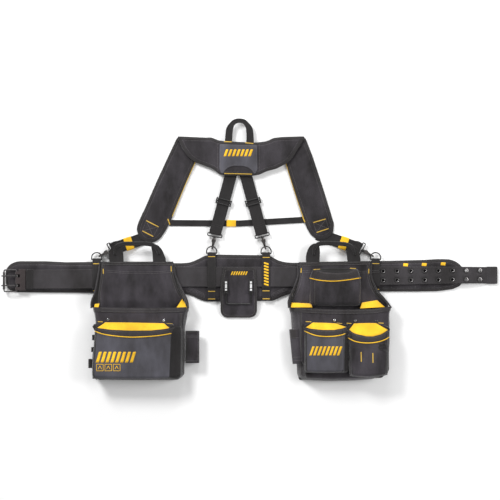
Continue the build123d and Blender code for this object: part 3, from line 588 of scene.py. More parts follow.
def sheet_of(grid, thickness, flip=False):
    """A sheet of cloth from a grid of points, thickened behind its face."""
    grid = np.asarray(grid, float)
    rows, columns = grid.shape[:2]
    du, dv = np.gradient(grid, axis=0), np.gradient(grid, axis=1)
    normal = unit(np.cross(du, dv)) * (-1 if flip else 1)
    behind = grid - normal * thickness
    points = np.vstack([grid.reshape(-1, 3), behind.reshape(-1, 3)])
    n = rows * columns
    u = np.zeros((rows, columns))
    v = np.zeros((rows, columns))
    u[1:] = np.cumsum(np.linalg.norm(np.diff(grid, axis=0), axis=2), axis=0)
    v[:, 1:] = np.cumsum(np.linalg.norm(np.diff(grid, axis=1), axis=2), axis=1)
    at = lambda i, j: i * columns + j
    uv = lambda i, j: (u[i, j], v[i, j])
    faces, corners = [], []

    def quad(cells, order, offset=0):
        cells = cells if not order else cells[::-1]
        faces.append([at(*c) + offset for c in cells])
        corners.append([uv(*c) for c in cells])

    for i in range(rows - 1):
        for j in range(columns - 1):
            cells = [(i, j), (i + 1, j), (i + 1, j + 1), (i, j + 1)]
            quad(cells, flip)
            quad(cells, not flip, n)
    rim = [(0, j) for j in range(columns)] + [(i, columns - 1) for i in range(1, rows)]
    rim += [(rows - 1, j) for j in range(columns - 2, -1, -1)] + [(i, 0) for i in range(rows - 2, 0, -1)]
    for a, b in zip(rim, rim[1:] + rim[:1]):
        cells = [at(*a), at(*b), n + at(*b), n + at(*a)]
        faces.append(cells if not flip else cells[::-1])
        corners.append([uv(*a), uv(*b), uv(*b), uv(*a)])
    return points, faces, corners


def face_up(grid, thickness):
    """A sheet of cloth from a grid of points, turned so that its face looks up."""
    du, dv = np.gradient(grid, axis=0), np.gradient(grid, axis=1)
    return sheet_of(grid, thickness, flip=np.cross(du, dv)[..., 2].mean() < 0)


def ruled(a, b, rows=6, sag=0.0):
    """A grid between two lines, bowed by sag along Z in its middle."""
    a, b = np.asarray(a, float), np.asarray(b, float)
    count = max(len(a), len(b), 8)
    spots = np.linspace(0, 1, count)
    lines = []
    for line in (a, b):
        lengths = lengths_along(line)
        lines.append(read_at(spots, lengths / lengths[-1], line))
    t = np.linspace(0, 1, rows)[:, None, None]
    grid = lines[0][None] * (1 - t) + lines[1][None] * t
    grid[:, :, 2] += sag * np.sin(math.pi * t[:, :, 0])
    return grid


def rough_up(points, size, amount, seed=0.0):
    """Small soft bumps for cloth that isn't flat: one height for each point."""
    return np.array([noise.noise(Vector((p[0] / size + seed, p[1] / size, seed * 1.7))) * amount for p in points])


def bars(piece, middle, width, height, count, slant, surface, lift, turn=0.0):
    """A plain woven badge on a piece: a row of slanted bars."""
    pitch = width / count
    cos, sin = math.cos(turn), math.sin(turn)
    for k in range(count):
        x = -width / 2 + (k + 0.5) * pitch
        w, s = pitch * 0.31, slant * height / 2
        corners = [(x - w - s, -height / 2), (x + w - s, -height / 2),
                   (x + w + s, height / 2), (x - w + s, height / 2)]
        loop = np.array([(middle[0] + px * cos - py * sin, middle[1] + px * sin + py * cos) for px, py in corners])
        piece.add(flat_patch(ccw(resample(loop, 2.4, True)), surface, lift, 0.45), YELLOW)


def flat_patch(outline, tree, lift, thickness, step=5.0, rings=()):
    """A thin patch that lies on a surface."""

    def height(spots, _):
        return drape(spots, tree)[0][:, 2]

    return panel(outline, lambda p, d: height(p, d) + lift + thickness * np.minimum(1, 0.5 + d),
                 lambda p, d: height(p, d) + lift - 0.3, step, rings=rings)


# ---------------------------------------------------------------- places shared with the frame
STRAP_TOP = [(-640, 17), (-450, 18.5), (-160, 26), (160, 26), (440, 27), (676, 26), (780, 25)]
STRAP_FOOT = [(-640, -40), (-450, -39.5), (-160, -34), (160, -34), (440, -29), (676, -24), (780, -24)]
RINGS = {"front_left": (-427.0, 47.5), "back_left": (-81.0, 66.0), "back_right": (83.0, 66.0),
         "front_right": (412.5, 47.5)}
HOOKS = {"front_left": (-389.5, 74.0, -151.5), "back_left": (-72.8, 114.0, -101.0),
         "back_right": (72.7, 113.5, -76.0), "front_right": (375.2, 74.3, -29.0)}
STARTS = {"back_left": (-21.0, 310.0), "back_right": (19.5, 310.0), "front_left": (-285.0, 111.0),
          "front_right": (262.0, 116.0)}
EYE_FAR, BEND_Z, RING_Z, BRACE_W = 12.0, 3.0, 10.0, 37.0
TIP_SINK, TIP_X0, TIP_RUN = 11.2, 660.0, 110.0
PANEL_LINE = [(60, 21.8), (-76, 21.8), (-150, 1.6), (-330, 1.6)]
HOLDER_LINE = [(21, 19.6), (-44, 19.6), (-82, 14.4), (-126, 4.4)]


def on_line(line, x):
    """Linear interpolation in a list of (x, value), in either order."""
    line = sorted(line)
    return np.interp(x, [p[0] for p in line], [p[1] for p in line])


def drop(x):
    """How far the strap's tip sinks towards the surface past the end of the pad."""
    return TIP_SINK * ease((np.asarray(x, float) - TIP_X0) / TIP_RUN)


def ccw(loop):
    return loop if area(loop) > 0 else loop[::-1]


def arc(cx, cy, r, start, end, steps=10):
    turns = np.radians(np.linspace(start, end, steps + 1))
    return [(cx + r * math.cos(a), cy + r * math.sin(a)) for a in turns]


def ribbon(points, sides, profile, closed=False):
    """Webbing along a path, with its width along the sides given."""
    points = np.asarray(points, float)
    sides = np.broadcast_to(np.asarray(sides, float), points.shape)
    if closed:
        tangent = unit(np.roll(points, -1, axis=0) - np.roll(points, 1, axis=0))
    else:
        tangent = unit(np.gradient(points, axis=0))
    return sweep(points, unit(np.cross(sides, tangent)), profile, closed)


def band(middle, heading, length, width, height, thickness, tilt=0.0):
    """A flat tube of webbing about an axis: inside it is width by height."""
    h, t = math.radians(heading), math.radians(tilt)
    along = np.array([math.cos(h) * math.cos(t), math.sin(h) * math.cos(t), math.sin(t)])
    across = np.array([-math.sin(h), math.cos(h), 0.0])
    up = np.cross(along, across)
    w, z = width / 2 + thickness / 2, height / 2 + thickness / 2
    corner = min(1.6, z)
    loop = [(-w + corner, z), (w - corner, z), (w, z - corner), (w, -z + corner), (w - corner, -z),
            (-w + corner, -z), (-w, -z + corner), (-w, z - corner)]
    loop = resample(np.array(loop), 1.6, True)
    path = np.array(middle) + loop[:, :1] * across + loop[:, 1:] * up
    return ribbon(path, along, web_profile(length, thickness), True)


def bind(loop, heights, width, crown, belly, lift=0.75):
    """Tape folded over a closed edge.  crown and belly are the cloth's heights above and below the edge line."""
    steps = [width, width - 0.7, width * 0.7, width * 0.4, 1.2, 0.1]
    over = [(-s, crown(s) + (lift if 0 < k else 0.1)) for k, s in enumerate(steps)]
    under = [(-s, -belly(s) - 0.25) for s in reversed(steps)]
    proud = 0.7
    profile = [*over, (proud * 0.75, crown(0) * 0.6), (proud, 0.0), (proud * 0.75, -belly(0) * 0.6), *under]
    return sweep(np.column_stack([loop, heights]), UP, profile, True)


def sew(piece, line, tree, look=THREAD, **how):
    """Stitches along a line of (x, y), lying on a surface."""
    path, normals = drape(resample(line, 2.5), tree, 0.1)
    piece.add(stitches(path, calm(normals), **how), look)


def sew_round(piece, loop, depth, tree, **how):
    """A row of stitches all the way round a closed line, that far inside it."""
    line = ring_inside(loop, depth)
    sew(piece, np.vstack([line, line[:1]]), tree, **how)


def tack(piece, a, b, tree, look=YELLOW_THREAD, width=2.4):
    """A bar tack between two points, lying on a surface."""
    path, normals = drape(resample([a, b], 1.0), tree, 0.15)
    piece.add(satin(calm(path), calm(normals), width), look)


def strip(a, b, tree, lift=0.3, thickness=0.7, rows=7, step=3.0):
    """Cloth between two lines of (x, y), lying on a surface."""
    a, b = resample(np.asarray(a, float), step), np.asarray(b, float)
    spots = np.linspace(0, 1, len(a))
    lengths = lengths_along(b)
    b = read_at(spots, lengths / lengths[-1], b)
    grid = []
    for t in np.linspace(0, 1, rows):
        points, _ = drape(a * (1 - t) + b * t, tree, lift)
        grid.append(calm(points, 1))
    return face_up(np.array(grid), thickness)


def cord(line, tree, radius, lift=0.0, sides=10):
    """Piping along a line of (x, y), half sunk in a surface."""
    path, normals = drape(resample(line, 2.5), tree, lift)
    return sweep(calm(path), calm(normals), round_profile(radius, sides))


def nominal(*pairs):
    """A smooth line through points given as corners."""
    return curve(pairs, 3.0, 2)


# ---------------------------------------------------------------- the belt pad
PAD_EDGE = [(-701, -26), (-701, 16), (-692, 29), (-681, 37), (-665, 42), (-580, 42), (-520, 39), (-440, 40),
            (-300, 38), (-170, 36), (-146, 38), (-126, 46), (-100, 59), (-62, 62), (92, 60), (104, 53), (120, 44),
            (140, 39), (165, 37), (300, 40), (440, 43), (560, 46), (600, 48.5), (636, 48), (656, 41), (672, 28),
            (679, 6), (678, -14), (667, -32), (645, -41), (600, -47), (540, -48), (440, -48), (300, -51),
            (168, -53.5), (148, -57), (128, -65), (104, -76), (-98, -78.5), (-120, -71), (-140, -60), (-165, -54.5),
            (-300, -53), (-440, -52), (-600, -51), (-670, -50), (-693, -42)]
pad_loop = ccw(curve(PAD_EDGE, 5.0, 2, True))


def pad_crown(d):
    return 4.6 + 7.2 * ease(np.asarray(d, float) / 15.0)


def pad_top(spots, d):
    groove = 0.9 * np.exp(-((d - 9.6) / 1.5) ** 2)
    soft = rough_up(spots, 70.0, 0.7) * ease(d / 20.0)
    return np.where(d < 0.01, 4.6, np.minimum(pad_crown(d) - groove + np.minimum(soft, 0.0), 11.9))


pad = Piece("belt_pad_cushion", ROOT, "padded_fabric")
pad.add(panel(pad_loop, pad_top, lambda p, d: 1.8 * (1 - ease(d / 9.0)), 9.0,
              rings=(2.0, 4.5, 7.4, 8.8, 10.4, 12.5, 16.0)), PAD)
pad.add(bind(pad_loop, np.full(len(pad_loop), 3.2), 7.4, lambda s: pad_crown(s) - 3.2,
             lambda s: 3.2 - 1.8 * (1 - ease(s / 9.0)) - 0.2), TAPE)
pad_skin = pad.tree()
sew_round(pad, pad_loop, 9.6, pad_skin, pitch=4.6)
sew_round(pad, pad_loop, 5.2, pad_skin, look=DARK_THREAD, pitch=3.6, length=2.6)
for side in (-1, 1):
    for depth in (13.0, 17.0, 21.0):
        line = ring_inside(pad_loop, depth)
        part = line[(line[:, 0] * side > 98) & (line[:, 0] * side < 152) & (line[:, 1] < -36)]
        part = part[np.argsort(part[:, 0])]
        if len(part) > 3:
            sew(pad, part, pad_skin, pitch=4.2)

for x in (460.0, 532.0, 589.0):
    sew(pad, [(x, -31.5), (x, -39.5)], pad_skin, pitch=2.6, length=2.2)
for x in (523.0, 540.0, 580.0):
    sew(pad, [(x, 30.0), (x, 37.0)], pad_skin, look=DARK_THREAD, pitch=2.6, length=2.2)

# ---------------------------------------------------------------- the belt strap, its keeper and size tabs
strap = Piece("belt_strap_webbing")
strap_loop = ccw(resample(np.array([*STRAP_TOP, *reversed(STRAP_FOOT)], float), 6.0, True))
EYELET_X, EYELET_PITCH, EYELET_COLUMNS, EYELET_ROW, HOLE_R = 434.5, 41.6, 8, 13.8, 5.6
holes = []
for column in range(EYELET_COLUMNS):
    x = EYELET_X + column * EYELET_PITCH
    middle = (on_line(STRAP_TOP, x) + on_line(STRAP_FOOT, x)) / 2
    for y in (-EYELET_ROW, EYELET_ROW):
        holes.append(np.array(arc(x, middle + y, HOLE_R, 0, 330, 11)))


STRAP_FACE_Z, STRAP_BACK_Z = 17.55, 14.25


def strap_face(spots, d):
    ridge = 0.25 * np.exp(-((d - 1.8) / 0.8) ** 2)
    return STRAP_FACE_Z - drop(spots[:, 0]) - 0.7 * (1 - ease(d / 1.1)) + ridge


strap.add(panel(strap_loop, strap_face, lambda p, d: STRAP_BACK_Z - drop(p[:, 0]) + 0.6 * (1 - ease(d / 1.1)),
                7.0, holes, rings=(0.9, 1.8, 2.8, 4.2)), WEB)
tip_loop = ccw(curve([(746, -25.5), (780, -25.5), (780, 26.5), (746, 26.5)], 3.0, 1, True))
strap.add(panel(tip_loop, lambda p, d: 18.9 - drop(p[:, 0]) - 0.6 * (1 - ease(d / 1.2)),
                lambda p, d: 16.6 - drop(p[:, 0]), 4.0, rings=(1.0, 2.4)), WEB)
strap_skin = strap.tree()
xs = np.arange(-636, 745, 4.0)
for line, inset in ((STRAP_TOP, -3.2), (STRAP_FOOT, 3.2)):
    sew(strap, np.column_stack([xs, on_line(line, xs) + inset]), strap_skin, look=DARK_THREAD, pitch=3.8)
for x in (749.5, 757.5, 775.0):
    sew(strap, [(x, -21.5), (x, 22.5)], strap_skin, look=DARK_THREAD, pitch=3.6)
for y in (-21.5, 22.5):
    sew(strap, [(749.5, y), (775.0, y)], strap_skin, look=DARK_THREAD, pitch=3.6)

keeper = Piece("belt_keeper_band")
keeper.add(band((-628.0, -11.5, 15.95), 0, 20, 57.8, 4.0, 1.3), STRAP)
keeper_skin = keeper.tree()
for x in (-636.0, -620.4):
    sew(keeper, [(x, -38.0), (x, 15.0)], keeper_skin, look=DARK_THREAD, pitch=3.6)

marks = Piece("belt_size_marks", ROOT, "yellow_fabric")
MARKS = (503, 31.5), (559, 32.5), (616, 34.5)
for x, y in MARKS:
    loop = ccw(resample(np.array([(x - 8, y - 4), (x + 6.5, y - 5), (x + 8, y + 4.5), (x - 6.5, y + 5)]), 1.5, True))
    marks.add(flat_patch(loop, pad_skin, 0.25, 1.0, 3.0, rings=(0.8,)), YELLOW)
marks_skin = surface_of(pad, marks)
for x, y in MARKS:
    for side in (-1, 1):
        sew(marks, [(x + side * 6.2, y - 4), (x + side * 6.2, y + 4)], marks_skin, look=DARK_THREAD, pitch=2.2,
            length=1.6, width=0.6, height=0.3)

# ---------------------------------------------------------------- the buckle's webbing tab
tab = Piece("buckle_tab_webbing")
BAR_X, BAR_Z, BAR_BEND, SLOTS = -667.0, 17.4, 3.2, (-30.5, -1.5)
notched = [(-640.4, -45.5), (-640.4, 19), (-661, 19), (-661, 12)]
for y in reversed(SLOTS):
    notched += [(-660, y + 4.5), (-657, y + 4.5), (-657, y - 4.5), (-660, y - 4.5)]
notched = ccw(resample(np.array([*notched, (-661, -44), (-661, -45.5)], float), 1.8, True))
for z in (BAR_Z + BAR_BEND, BAR_Z - BAR_BEND):
    tab.add(panel(notched, lambda p, d, z=z: z + 0.95 - 0.5 * (1 - ease(d / 0.8)),
                  lambda p, d, z=z: z - 0.95 + 0.5 * (1 - ease(d / 0.8)), 3.0, rings=(0.8,)), LEATHER)
bend = [(-658.5, BAR_Z + BAR_BEND), *arc(BAR_X, BAR_Z, BAR_BEND, 90, 270, 12), (-658.5, BAR_Z - BAR_BEND)]
for y0, y1 in ((-44, -35), (-26, -6), (3, 12)):
    path = [(x, (y0 + y1) / 2, z) for x, z in resample(np.array(bend), 1.2)]
    tab.add(ribbon(path, (0, 1, 0), web_profile(y1 - y0, 1.9)), LEATHER)
tab_skin = tab.tree()
for x in (-643.5, -651.0):
    sew(tab, [(x, -42.5), (x, 16)], tab_skin, look=DARK_THREAD, pitch=3.6)

# ---------------------------------------------------------------- D-ring tabs
TAB_FOOT = {"front_left": -49.0, "back_left": -74.0, "back_right": -74.0, "front_right": -46.0}
TACKS = {"front_left": (35.0, -46.0), "back_left": (56.5, -48.0, -71.0), "back_right": (54.0, -46.5, -70.5),
         "front_right": (35.5, -42.0)}
ON_PAD_Z, OVER_STRAP_Z, AT_EDGE_Z, RING_BEND = 13.3, 19.0, 14.05, 3.15
front_tabs = Piece("front_ring_tab_webbing")
back_tabs = Piece("back_ring_tab_webbing")
for name, (x, y) in RINGS.items():
    piece = front_tabs if name.startswith("front") else back_tabs
    foot, top = float(on_line(STRAP_FOOT, x)) - 2.0, float(on_line(STRAP_TOP, x)) + 3.0
    edge = {"front_left": 40.3, "back_left": 61.0, "back_right": 61.0, "front_right": 40.1}[name]
    line = [(TAB_FOOT[name], ON_PAD_Z), (foot - 4, ON_PAD_Z), (foot, OVER_STRAP_Z), (top, OVER_STRAP_Z),
            (edge + 0.5, AT_EDGE_Z), (y - 1, RING_Z + RING_BEND), *arc(y, RING_Z, RING_BEND, 90, -90, 12),
            (edge + 1.2, RING_Z - RING_BEND)]
    path = [(x, yy, zz) for yy, zz in resample(soften(np.array(line), 1), 1.8)]
    piece.add(ribbon(path, (-1, 0, 0), web_profile(25.0, 1.9)), STRAP)
for piece in (front_tabs, back_tabs):
    skin = piece.tree()
    for name, (x, y) in RINGS.items():
        if name.startswith("front") != (piece is front_tabs):
            continue
        for row in TACKS[name]:
            tack(piece, (x - 10.6, row), (x + 10.6, row), skin)
        foot = TAB_FOOT[name] + 5
        for side in (-1, 1):
            sew(piece, [(x + side * 9.8, foot), (x + side * 9.8, TACKS[name][0] - 4)], skin, look=DARK_THREAD)
bars(back_tabs, (83.4, 4.0), 72.0, 14.0, 8, 0.3, back_tabs.tree(), 0.1, math.pi / 2)


# ---------------------------------------------------------------- braces, keepers and the chest strap
def brace_line(name):
    """Start, heading in radians, and length of a run of brace webbing."""
    (sx, sy), (x, y, angle) = STARTS[name], HOOKS[name]
    turn = math.radians(angle)
    end = (x - EYE_FAR * math.cos(turn), y - EYE_FAR * math.sin(turn))
    return (sx, sy), math.atan2(end[1] - sy, end[0] - sx), math.dist((sx, sy), end)


def on_brace(name, s, z):
    (sx, sy), heading, _ = brace_line(name)
    return (sx + s * math.cos(heading), sy + s * math.sin(heading), z)


def in_hook(name, s, z):
    x, y, angle = HOOKS[name]
    turn = math.radians(angle)
    return (x + s * math.cos(turn), y + s * math.sin(turn), RING_Z + z)


def brace(name, lead, tail):
    """One brace: lead and tail are (along, up) points of its upper and lower runs."""
    _, heading, _ = brace_line(name)
    turn = math.radians(HOOKS[name][2])
    points = [on_brace(name, s, z) for s, z in lead]
    points += [in_hook(name, s, z) for s, z in ((-24, BEND_Z), *arc(-EYE_FAR, 0, BEND_Z, 90, -90, 12))]
    points += [in_hook(name, -26, -BEND_Z)] + [on_brace(name, s, z) for s, z in tail]
    path = resample(np.array(points), 1.6)
    path[1:-1] = calm(path, 2)[1:-1]
    near = np.clip(1 - np.linalg.norm(path[:, :2] - np.array(in_hook(name, -EYE_FAR, 0)[:2]), axis=1) / 40.0, 0, 1)
    way = heading + ((turn - heading + math.pi) % (2 * math.pi) - math.pi) * ease(near * 2)
    sides = np.column_stack([-np.sin(way), np.cos(way), np.zeros(len(way))])
    return ribbon(path, sides, web_profile(BRACE_W - 0.4, 1.85))


FRONT_Z = 1.4
for side in ("left", "right"):
    name = "back_" + side
    _, heading, length = brace_line(name)
    piece = Piece(name + "_brace_webbing")
    piece.add(brace(name, [(-4, 5.9), (108, 8.0), (length - 16, RING_Z + BEND_Z - 0.3)],
                    [(length - 24, RING_Z - BEND_Z - 0.3), (114, 5.2)]), STRAP)
    skin = piece.tree()
    across = np.array([-math.sin(heading), math.cos(heading)]) * (BRACE_W / 2 - 3)
    for s in (length - 22, length - 27):
        middle = on_brace(name, s, 0)[:2]
        sew(piece, [middle - across, middle + across], skin, look=DARK_THREAD, pitch=3.4)
    piece.make("back_brace_" + side)

    name = "front_" + side
    _, heading, length = brace_line(name)
    climb = (RING_Z + BEND_Z - FRONT_Z) / (length - 6 - 13)
    piece = Piece(name + "_brace_webbing")
    lead = [(-26, FRONT_Z), (13, FRONT_Z), (length - 16, FRONT_Z + climb * (length - 29))]
    piece.add(brace(name, lead, []), STRAP)
    piece.make("front_brace_" + side)

    s = {"left": 48.0, "right": 58.0}[side]
    piece = Piece(name + "_keeper_band", "front_keeper_" + side, "yellow_fabric")
    middle = on_brace(name, s, FRONT_Z + (s - 13) * climb)
    piece.add(band(middle, math.degrees(heading), 24, BRACE_W + 0.6, 2.6, 1.1, math.degrees(math.atan(climb))),
              YELLOW)
    piece.make("front_keeper_" + side)

chest = Piece("chest_strap_webbing")
CHEST_Z = 2.2
for a, b in (((-208.0, 158.0), (4.2, 156.5)), ((3.8, 156.5), (197.0, 167.5))):
    path = resample([(*a, CHEST_Z), (*b, CHEST_Z)], 4.0)
    heading = math.atan2(b[1] - a[1], b[0] - a[0])
    chest.add(ribbon(path, (-math.sin(heading), math.cos(heading), 0), web_profile(18.6, 1.7)), STRAP)
chest.make("chest_strap")
chest_band = Piece("chest_keeper_band", "chest_keeper", "yellow_fabric")
chest_band.add(band((-22.0, 156.7, CHEST_Z), -0.4, 28, 19.6, 2.4, 0.7), YELLOW)
skin = chest_band.tree()
for x in (-33.0, -11.0):
    sew(chest_band, [(x, 149.0), (x, 164.5)], skin, look=YELLOW_THREAD, pitch=2.8)

# ---------------------------------------------------------------- shoulder pads
SHOULDERS = {
    "left": [(-184, 416), (-215, 350), (-245, 285), (-280, 205), (-299, 165), (-306, 145), (-305, 130), (-295, 112),
             (-280, 102.5), (-265, 99), (-250, 101.5), (-235, 113), (-220, 135), (-200, 175), (-165, 262),
             (-128, 345), (-150, 385)],
    "right": [(200, 416), (222, 360), (250, 275), (275, 195), (287, 155), (285, 130), (275, 118), (262, 111),
              (245, 109.5), (230, 113), (218, 122), (207, 142), (195, 170), (180, 215), (150, 310), (140, 345),
              (165, 385)],
}


def dome(edge, full, width):
    """Height of a pad's face by distance to its edge."""
    return lambda d: edge + (full - edge) * ease(np.asarray(d, float) / width)


def crease(spots, a, b, deep, wide):
    """A crease from a to b, fading out at its ends."""
    a, b = np.array(a, float), np.array(b, float)
    t = ((spots - a) @ (b - a)) / ((b - a) @ (b - a))
    gap = np.linalg.norm(spots - (a + np.clip(t, 0, 1)[:, None] * (b - a)), axis=1)
    return -deep * np.exp(-(gap / wide) ** 2)


shoulder_crown = dome(3.6, 8.9, 13.0)
SHOULDER_CREASES = {
    "left": (((-206, 372), (-160, 334)), ((-222, 350), (-176, 308)), ((-232, 318), (-190, 284)),
             ((-300, 196), (-262, 178))),
    "right": (((208, 372), (164, 336)), ((226, 346), (184, 306)), ((282, 214), (246, 190))),
}
for side, corners in SHOULDERS.items():
    piece = Piece("shoulder_pad_cushion_" + side, ROOT, "padded_fabric")
    loop = ccw(curve(corners, 4.0, 2, True))
    start, heading, _ = brace_line("front_" + side)
    lane = np.array([math.cos(heading), math.sin(heading)])

    def under(spots, d, start=start, lane=lane):
        away = (spots - np.array(start)) @ lane
        beside = np.abs((spots - np.array(start)) @ np.array([-lane[1], lane[0]]))
        low = 1.0 * (1 - ease(d / 8.0))
        low = np.maximum(low, np.where((away > -34) & (beside < BRACE_W / 2 + 3), 2.75, 0.0))
        return np.maximum(low, np.where((spots[:, 1] > 138) & (spots[:, 1] < 184), 4.3, 0.0))

    def over(spots, d, side=side):
        groove = 0.7 * np.exp(-((d - 10.2) / 1.3) ** 2)
        soft = rough_up(spots, 34.0, 2.2, 4.0) - 0.5
        soft += sum(crease(spots, a, b, 2.2, 5.0) for a, b in SHOULDER_CREASES[side])
        return np.maximum(shoulder_crown(d) - groove + np.minimum(soft, 0) * ease(d / 14.0), 3.6)

    piece.add(panel(loop, over, under, 7.0, rings=(2.0, 4.5, 8.6, 10.2, 12.0, 15.0)), PAD)
    piece.add(bind(loop, np.full(len(loop), 3.5), 7.0, lambda s: shoulder_crown(s) - 3.5, lambda s: 0.0), TAPE)
    skin = piece.tree()
    sew_round(piece, loop, 10.2, skin)
    inner = {"left": ((-130, 342), (-165, 262), (-200, 177)),
             "right": ((141, 342), (151, 308), (180, 216), (196, 172))}[side]
    path = curve(inner, 3.0, 2)
    piece.add(sweep(np.column_stack([path, np.full(len(path), 7.0)]), UP, round_profile(0.9, 8)), YELLOW_THREAD)
    boxes = {"left": ((-278, 165), (-241, 146), (-257, 117), (-290, 134)),
             "right": ((225, 159), (263, 170), (271, 141), (235, 129))}[side]
    for a, b in ((0, 1), (1, 2), (2, 3), (3, 0), (0, 2), (1, 3)):
        sew(piece, [boxes[a], boxes[b]], skin, pitch=3.8)
    for a, b in ((0, 1), (2, 3)):
        tack(piece, boxes[a], boxes[b], skin, width=3.0)
    ends = {"left": ((-207, 153), (-213, 170)), "right": ((200, 160), (192, 178))}[side]
    tack(piece, *ends, skin, width=3.4)
    piece.make("shoulder_pad_" + side)

# ---------------------------------------------------------------- the yoke
YOKE = [(-184, 418), (-140, 416), (-95, 414), (-83, 415), (-60, 406), (-44, 403.5), (45, 399), (65, 400), (88, 404),
        (105, 413), (130, 416), (200, 418), (184, 392), (164, 358), (150, 341), (140, 335), (115, 322), (85, 314),
        (62, 303.5), (40, 300), (-42, 301.5), (-58, 304), (-75, 320), (-100, 330), (-130, 341), (-150, 357),
        (-168, 382)]
yoke_loop = ccw(curve(YOKE, 4.0, 1, True))
yoke = Piece("yoke_cushion", ROOT, "padded_fabric")
yoke_crown = dome(14.6, 19.3, 12.0)


def yoke_top(spots, d):
    groove = 0.7 * np.exp(-((d - 10.0) / 1.3) ** 2)
    seams = 0.8 * np.exp(-((np.abs(spots[:, 0]) - 60.0) / 1.6) ** 2)
    soft = np.minimum(rough_up(spots, 42.0, 2.4, 9.0) - 0.4, 0) * ease(d / 16.0)
    return np.maximum(yoke_crown(d) - groove - seams * ease(d / 6.0) + soft, 14.6)


yoke.add(panel(yoke_loop, yoke_top, lambda p, d: 10.6 + 1.6 * (1 - ease(d / 8.0)), 7.0,
               rings=(2.0, 4.5, 8.6, 10.0, 12.0, 15.0)), PAD)
yoke.add(bind(yoke_loop, np.full(len(yoke_loop), 13.4), 7.0, lambda s: yoke_crown(s) - 13.4, lambda s: 1.1), TAPE)
yoke_skin = yoke.tree()
sew_round(yoke, yoke_loop, 10.0, yoke_skin)
for x in (-62.5, 62.5):
    sew(yoke, [(x, 313), (x, 396)], yoke_skin)

patch = Piece("yoke_patch", ROOT, "coated_fabric")
arch = [(-57, 395), (56, 392), (57, 318), (52, 306), (45, 305), (42, 314), (28, 325), (12, 328.5), (-14, 329),
        (-30, 325), (-42, 315), (-45, 306), (-53, 307), (-58, 320)]
patch_loop = ccw(curve(arch, 3.0, 1, True))
patch.add(flat_patch(patch_loop, yoke_skin, 0.5, 0.9, 6.0, rings=(1.0, 2.5)), COATED)
patch_skin = surface_of(yoke, patch)
patch_trim = Piece("yoke_patch_stitching", ROOT, "coated_fabric")
sew_round(patch_trim, patch_loop, 3.0, patch_skin)
tack(patch_trim, (-43, 306.5), (40, 304.5), patch_skin, width=3.0)
bars(patch_trim, (-0.5, 368.5), 86.0, 21.0, 7, 0.35, patch_skin, 0.05)

hang = Piece("hanging_loop_webbing")
line = curve([(-30.5, 389), (-30, 404), (-28, 440), (-18, 458), (-6, 465.5), (12, 465.5), (24, 457), (34, 440),
              (35, 404), (34, 387)], 3.0, 2)
spots = np.linspace(0, 1, len(line))
lift = 14.0 + 1.2 * np.sin(math.pi * spots)
widths = np.interp(spots, [0, 0.27, 0.36, 0.5, 0.64, 0.73, 1], [22, 21, 15, 13.5, 15, 21, 23])
profile = np.array([web_profile(w, 2.2) for w in widths])
hang.add(sweep(np.column_stack([line, lift]), UP, profile), STRAP)
tack(yoke, (-43, 402.6), (-20, 401.6), surface_of(yoke), width=3.0)
tack(yoke, (20, 399.0), (45, 396.6), surface_of(yoke), width=3.0)

# ---------------------------------------------------------------- the hammer holder
holder = Piece("hammer_holder_cloth", ROOT, "pouch_fabric")
HOLDER = [(-45, 22.5), (-20, 22.5), (25, 22.5), (50.5, 22.5), (52, 10), (53, -10), (55, -40), (55, -108),
          (50, -121), (38, -126.5), (-36, -126.5), (-49, -121), (-53.5, -108), (-53.5, -40), (-50, -8), (-46, 10)]
holder_loop = ccw(curve(HOLDER, 3.0, 1, True))


def holder_mid(y):
    return on_line(HOLDER_LINE, y)


def holder_face(spots, d):
    dent = 1.1 * np.exp(-((spots[:, 1] + 104 + 0.22 * spots[:, 0]) / 3.0) ** 2)
    return holder_mid(spots[:, 1]) + 1.35 - dent - 0.5 * (1 - ease(d / 2.0))


holder.add(panel(holder_loop, holder_face, lambda p, d: holder_mid(p[:, 1]) - 1.4, 5.0,
                 rings=(1.2, 3.0, 5.0, 8.0)), POUCH)
holder_trim = Piece("hammer_holder_binding", ROOT, "pouch_fabric")
holder_trim.add(bind(holder_loop, holder_mid(holder_loop[:, 1]), 7.6, lambda s: 1.35, lambda s: 1.3), TAPE)
holder_skin = surface_of(holder, holder_trim)
for depth, look in ((6.4, THREAD), (2.2, DARK_THREAD)):
    sew_round(holder_trim, holder_loop, depth, holder_skin, look=look, pitch=3.8)
bars(holder_trim, (2.0, 6.5), 50.0, 11.0, 7, 0.4, surface_of(holder, holder_trim), 0.05)

sleeves = Piece("hammer_loop_sleeve_webbing")
PIVOT_Y, PIVOT_Z = -52.0, float(holder_mid(-52.0)) + 1.5 + 2.2 + 2.6
for side in (-1, 1):
    bend = 2.2 + 0.35 + 0.7
    face, foot = float(holder_mid(-14)) + 2.4, float(holder_mid(-43)) + 2.4
    lead = [(-10, face), (-18, face + 1.8), (PIVOT_Y + 4.5, PIVOT_Z + bend)]
    fold = [(PIVOT_Y + 5, PIVOT_Z + bend), *arc(PIVOT_Y, PIVOT_Z, bend, 90, 270, 12),
            (PIVOT_Y + 5, foot + 0.4)]
    tail = [(PIVOT_Y + 4.5, foot + 0.4), (PIVOT_Y + 16, foot)]
    for line, lanes in ((lead, ((0, 13.0),)), (fold, ((-4.85, 3.3), (4.85, 3.3))), (tail, ((0, 13.0),))):
        for offset, width in lanes:
            path = [(side * 37.5 + offset, y, z) for y, z in resample(np.array(line), 1.4)]
            sleeves.add(ribbon(path, (-1, 0, 0), web_profile(width, 1.35)), STRAP)
sleeves_skin = surface_of(holder, holder_trim, sleeves)
for side in (-1, 1):
    for y0, y1 in ((-18, -24), (-26, -38), (-40, -46)):
        tack(sleeves, (side * 37.5, y0), (side * 37.5, y1), sleeves_skin, look=WHITE_THREAD, width=6.5)


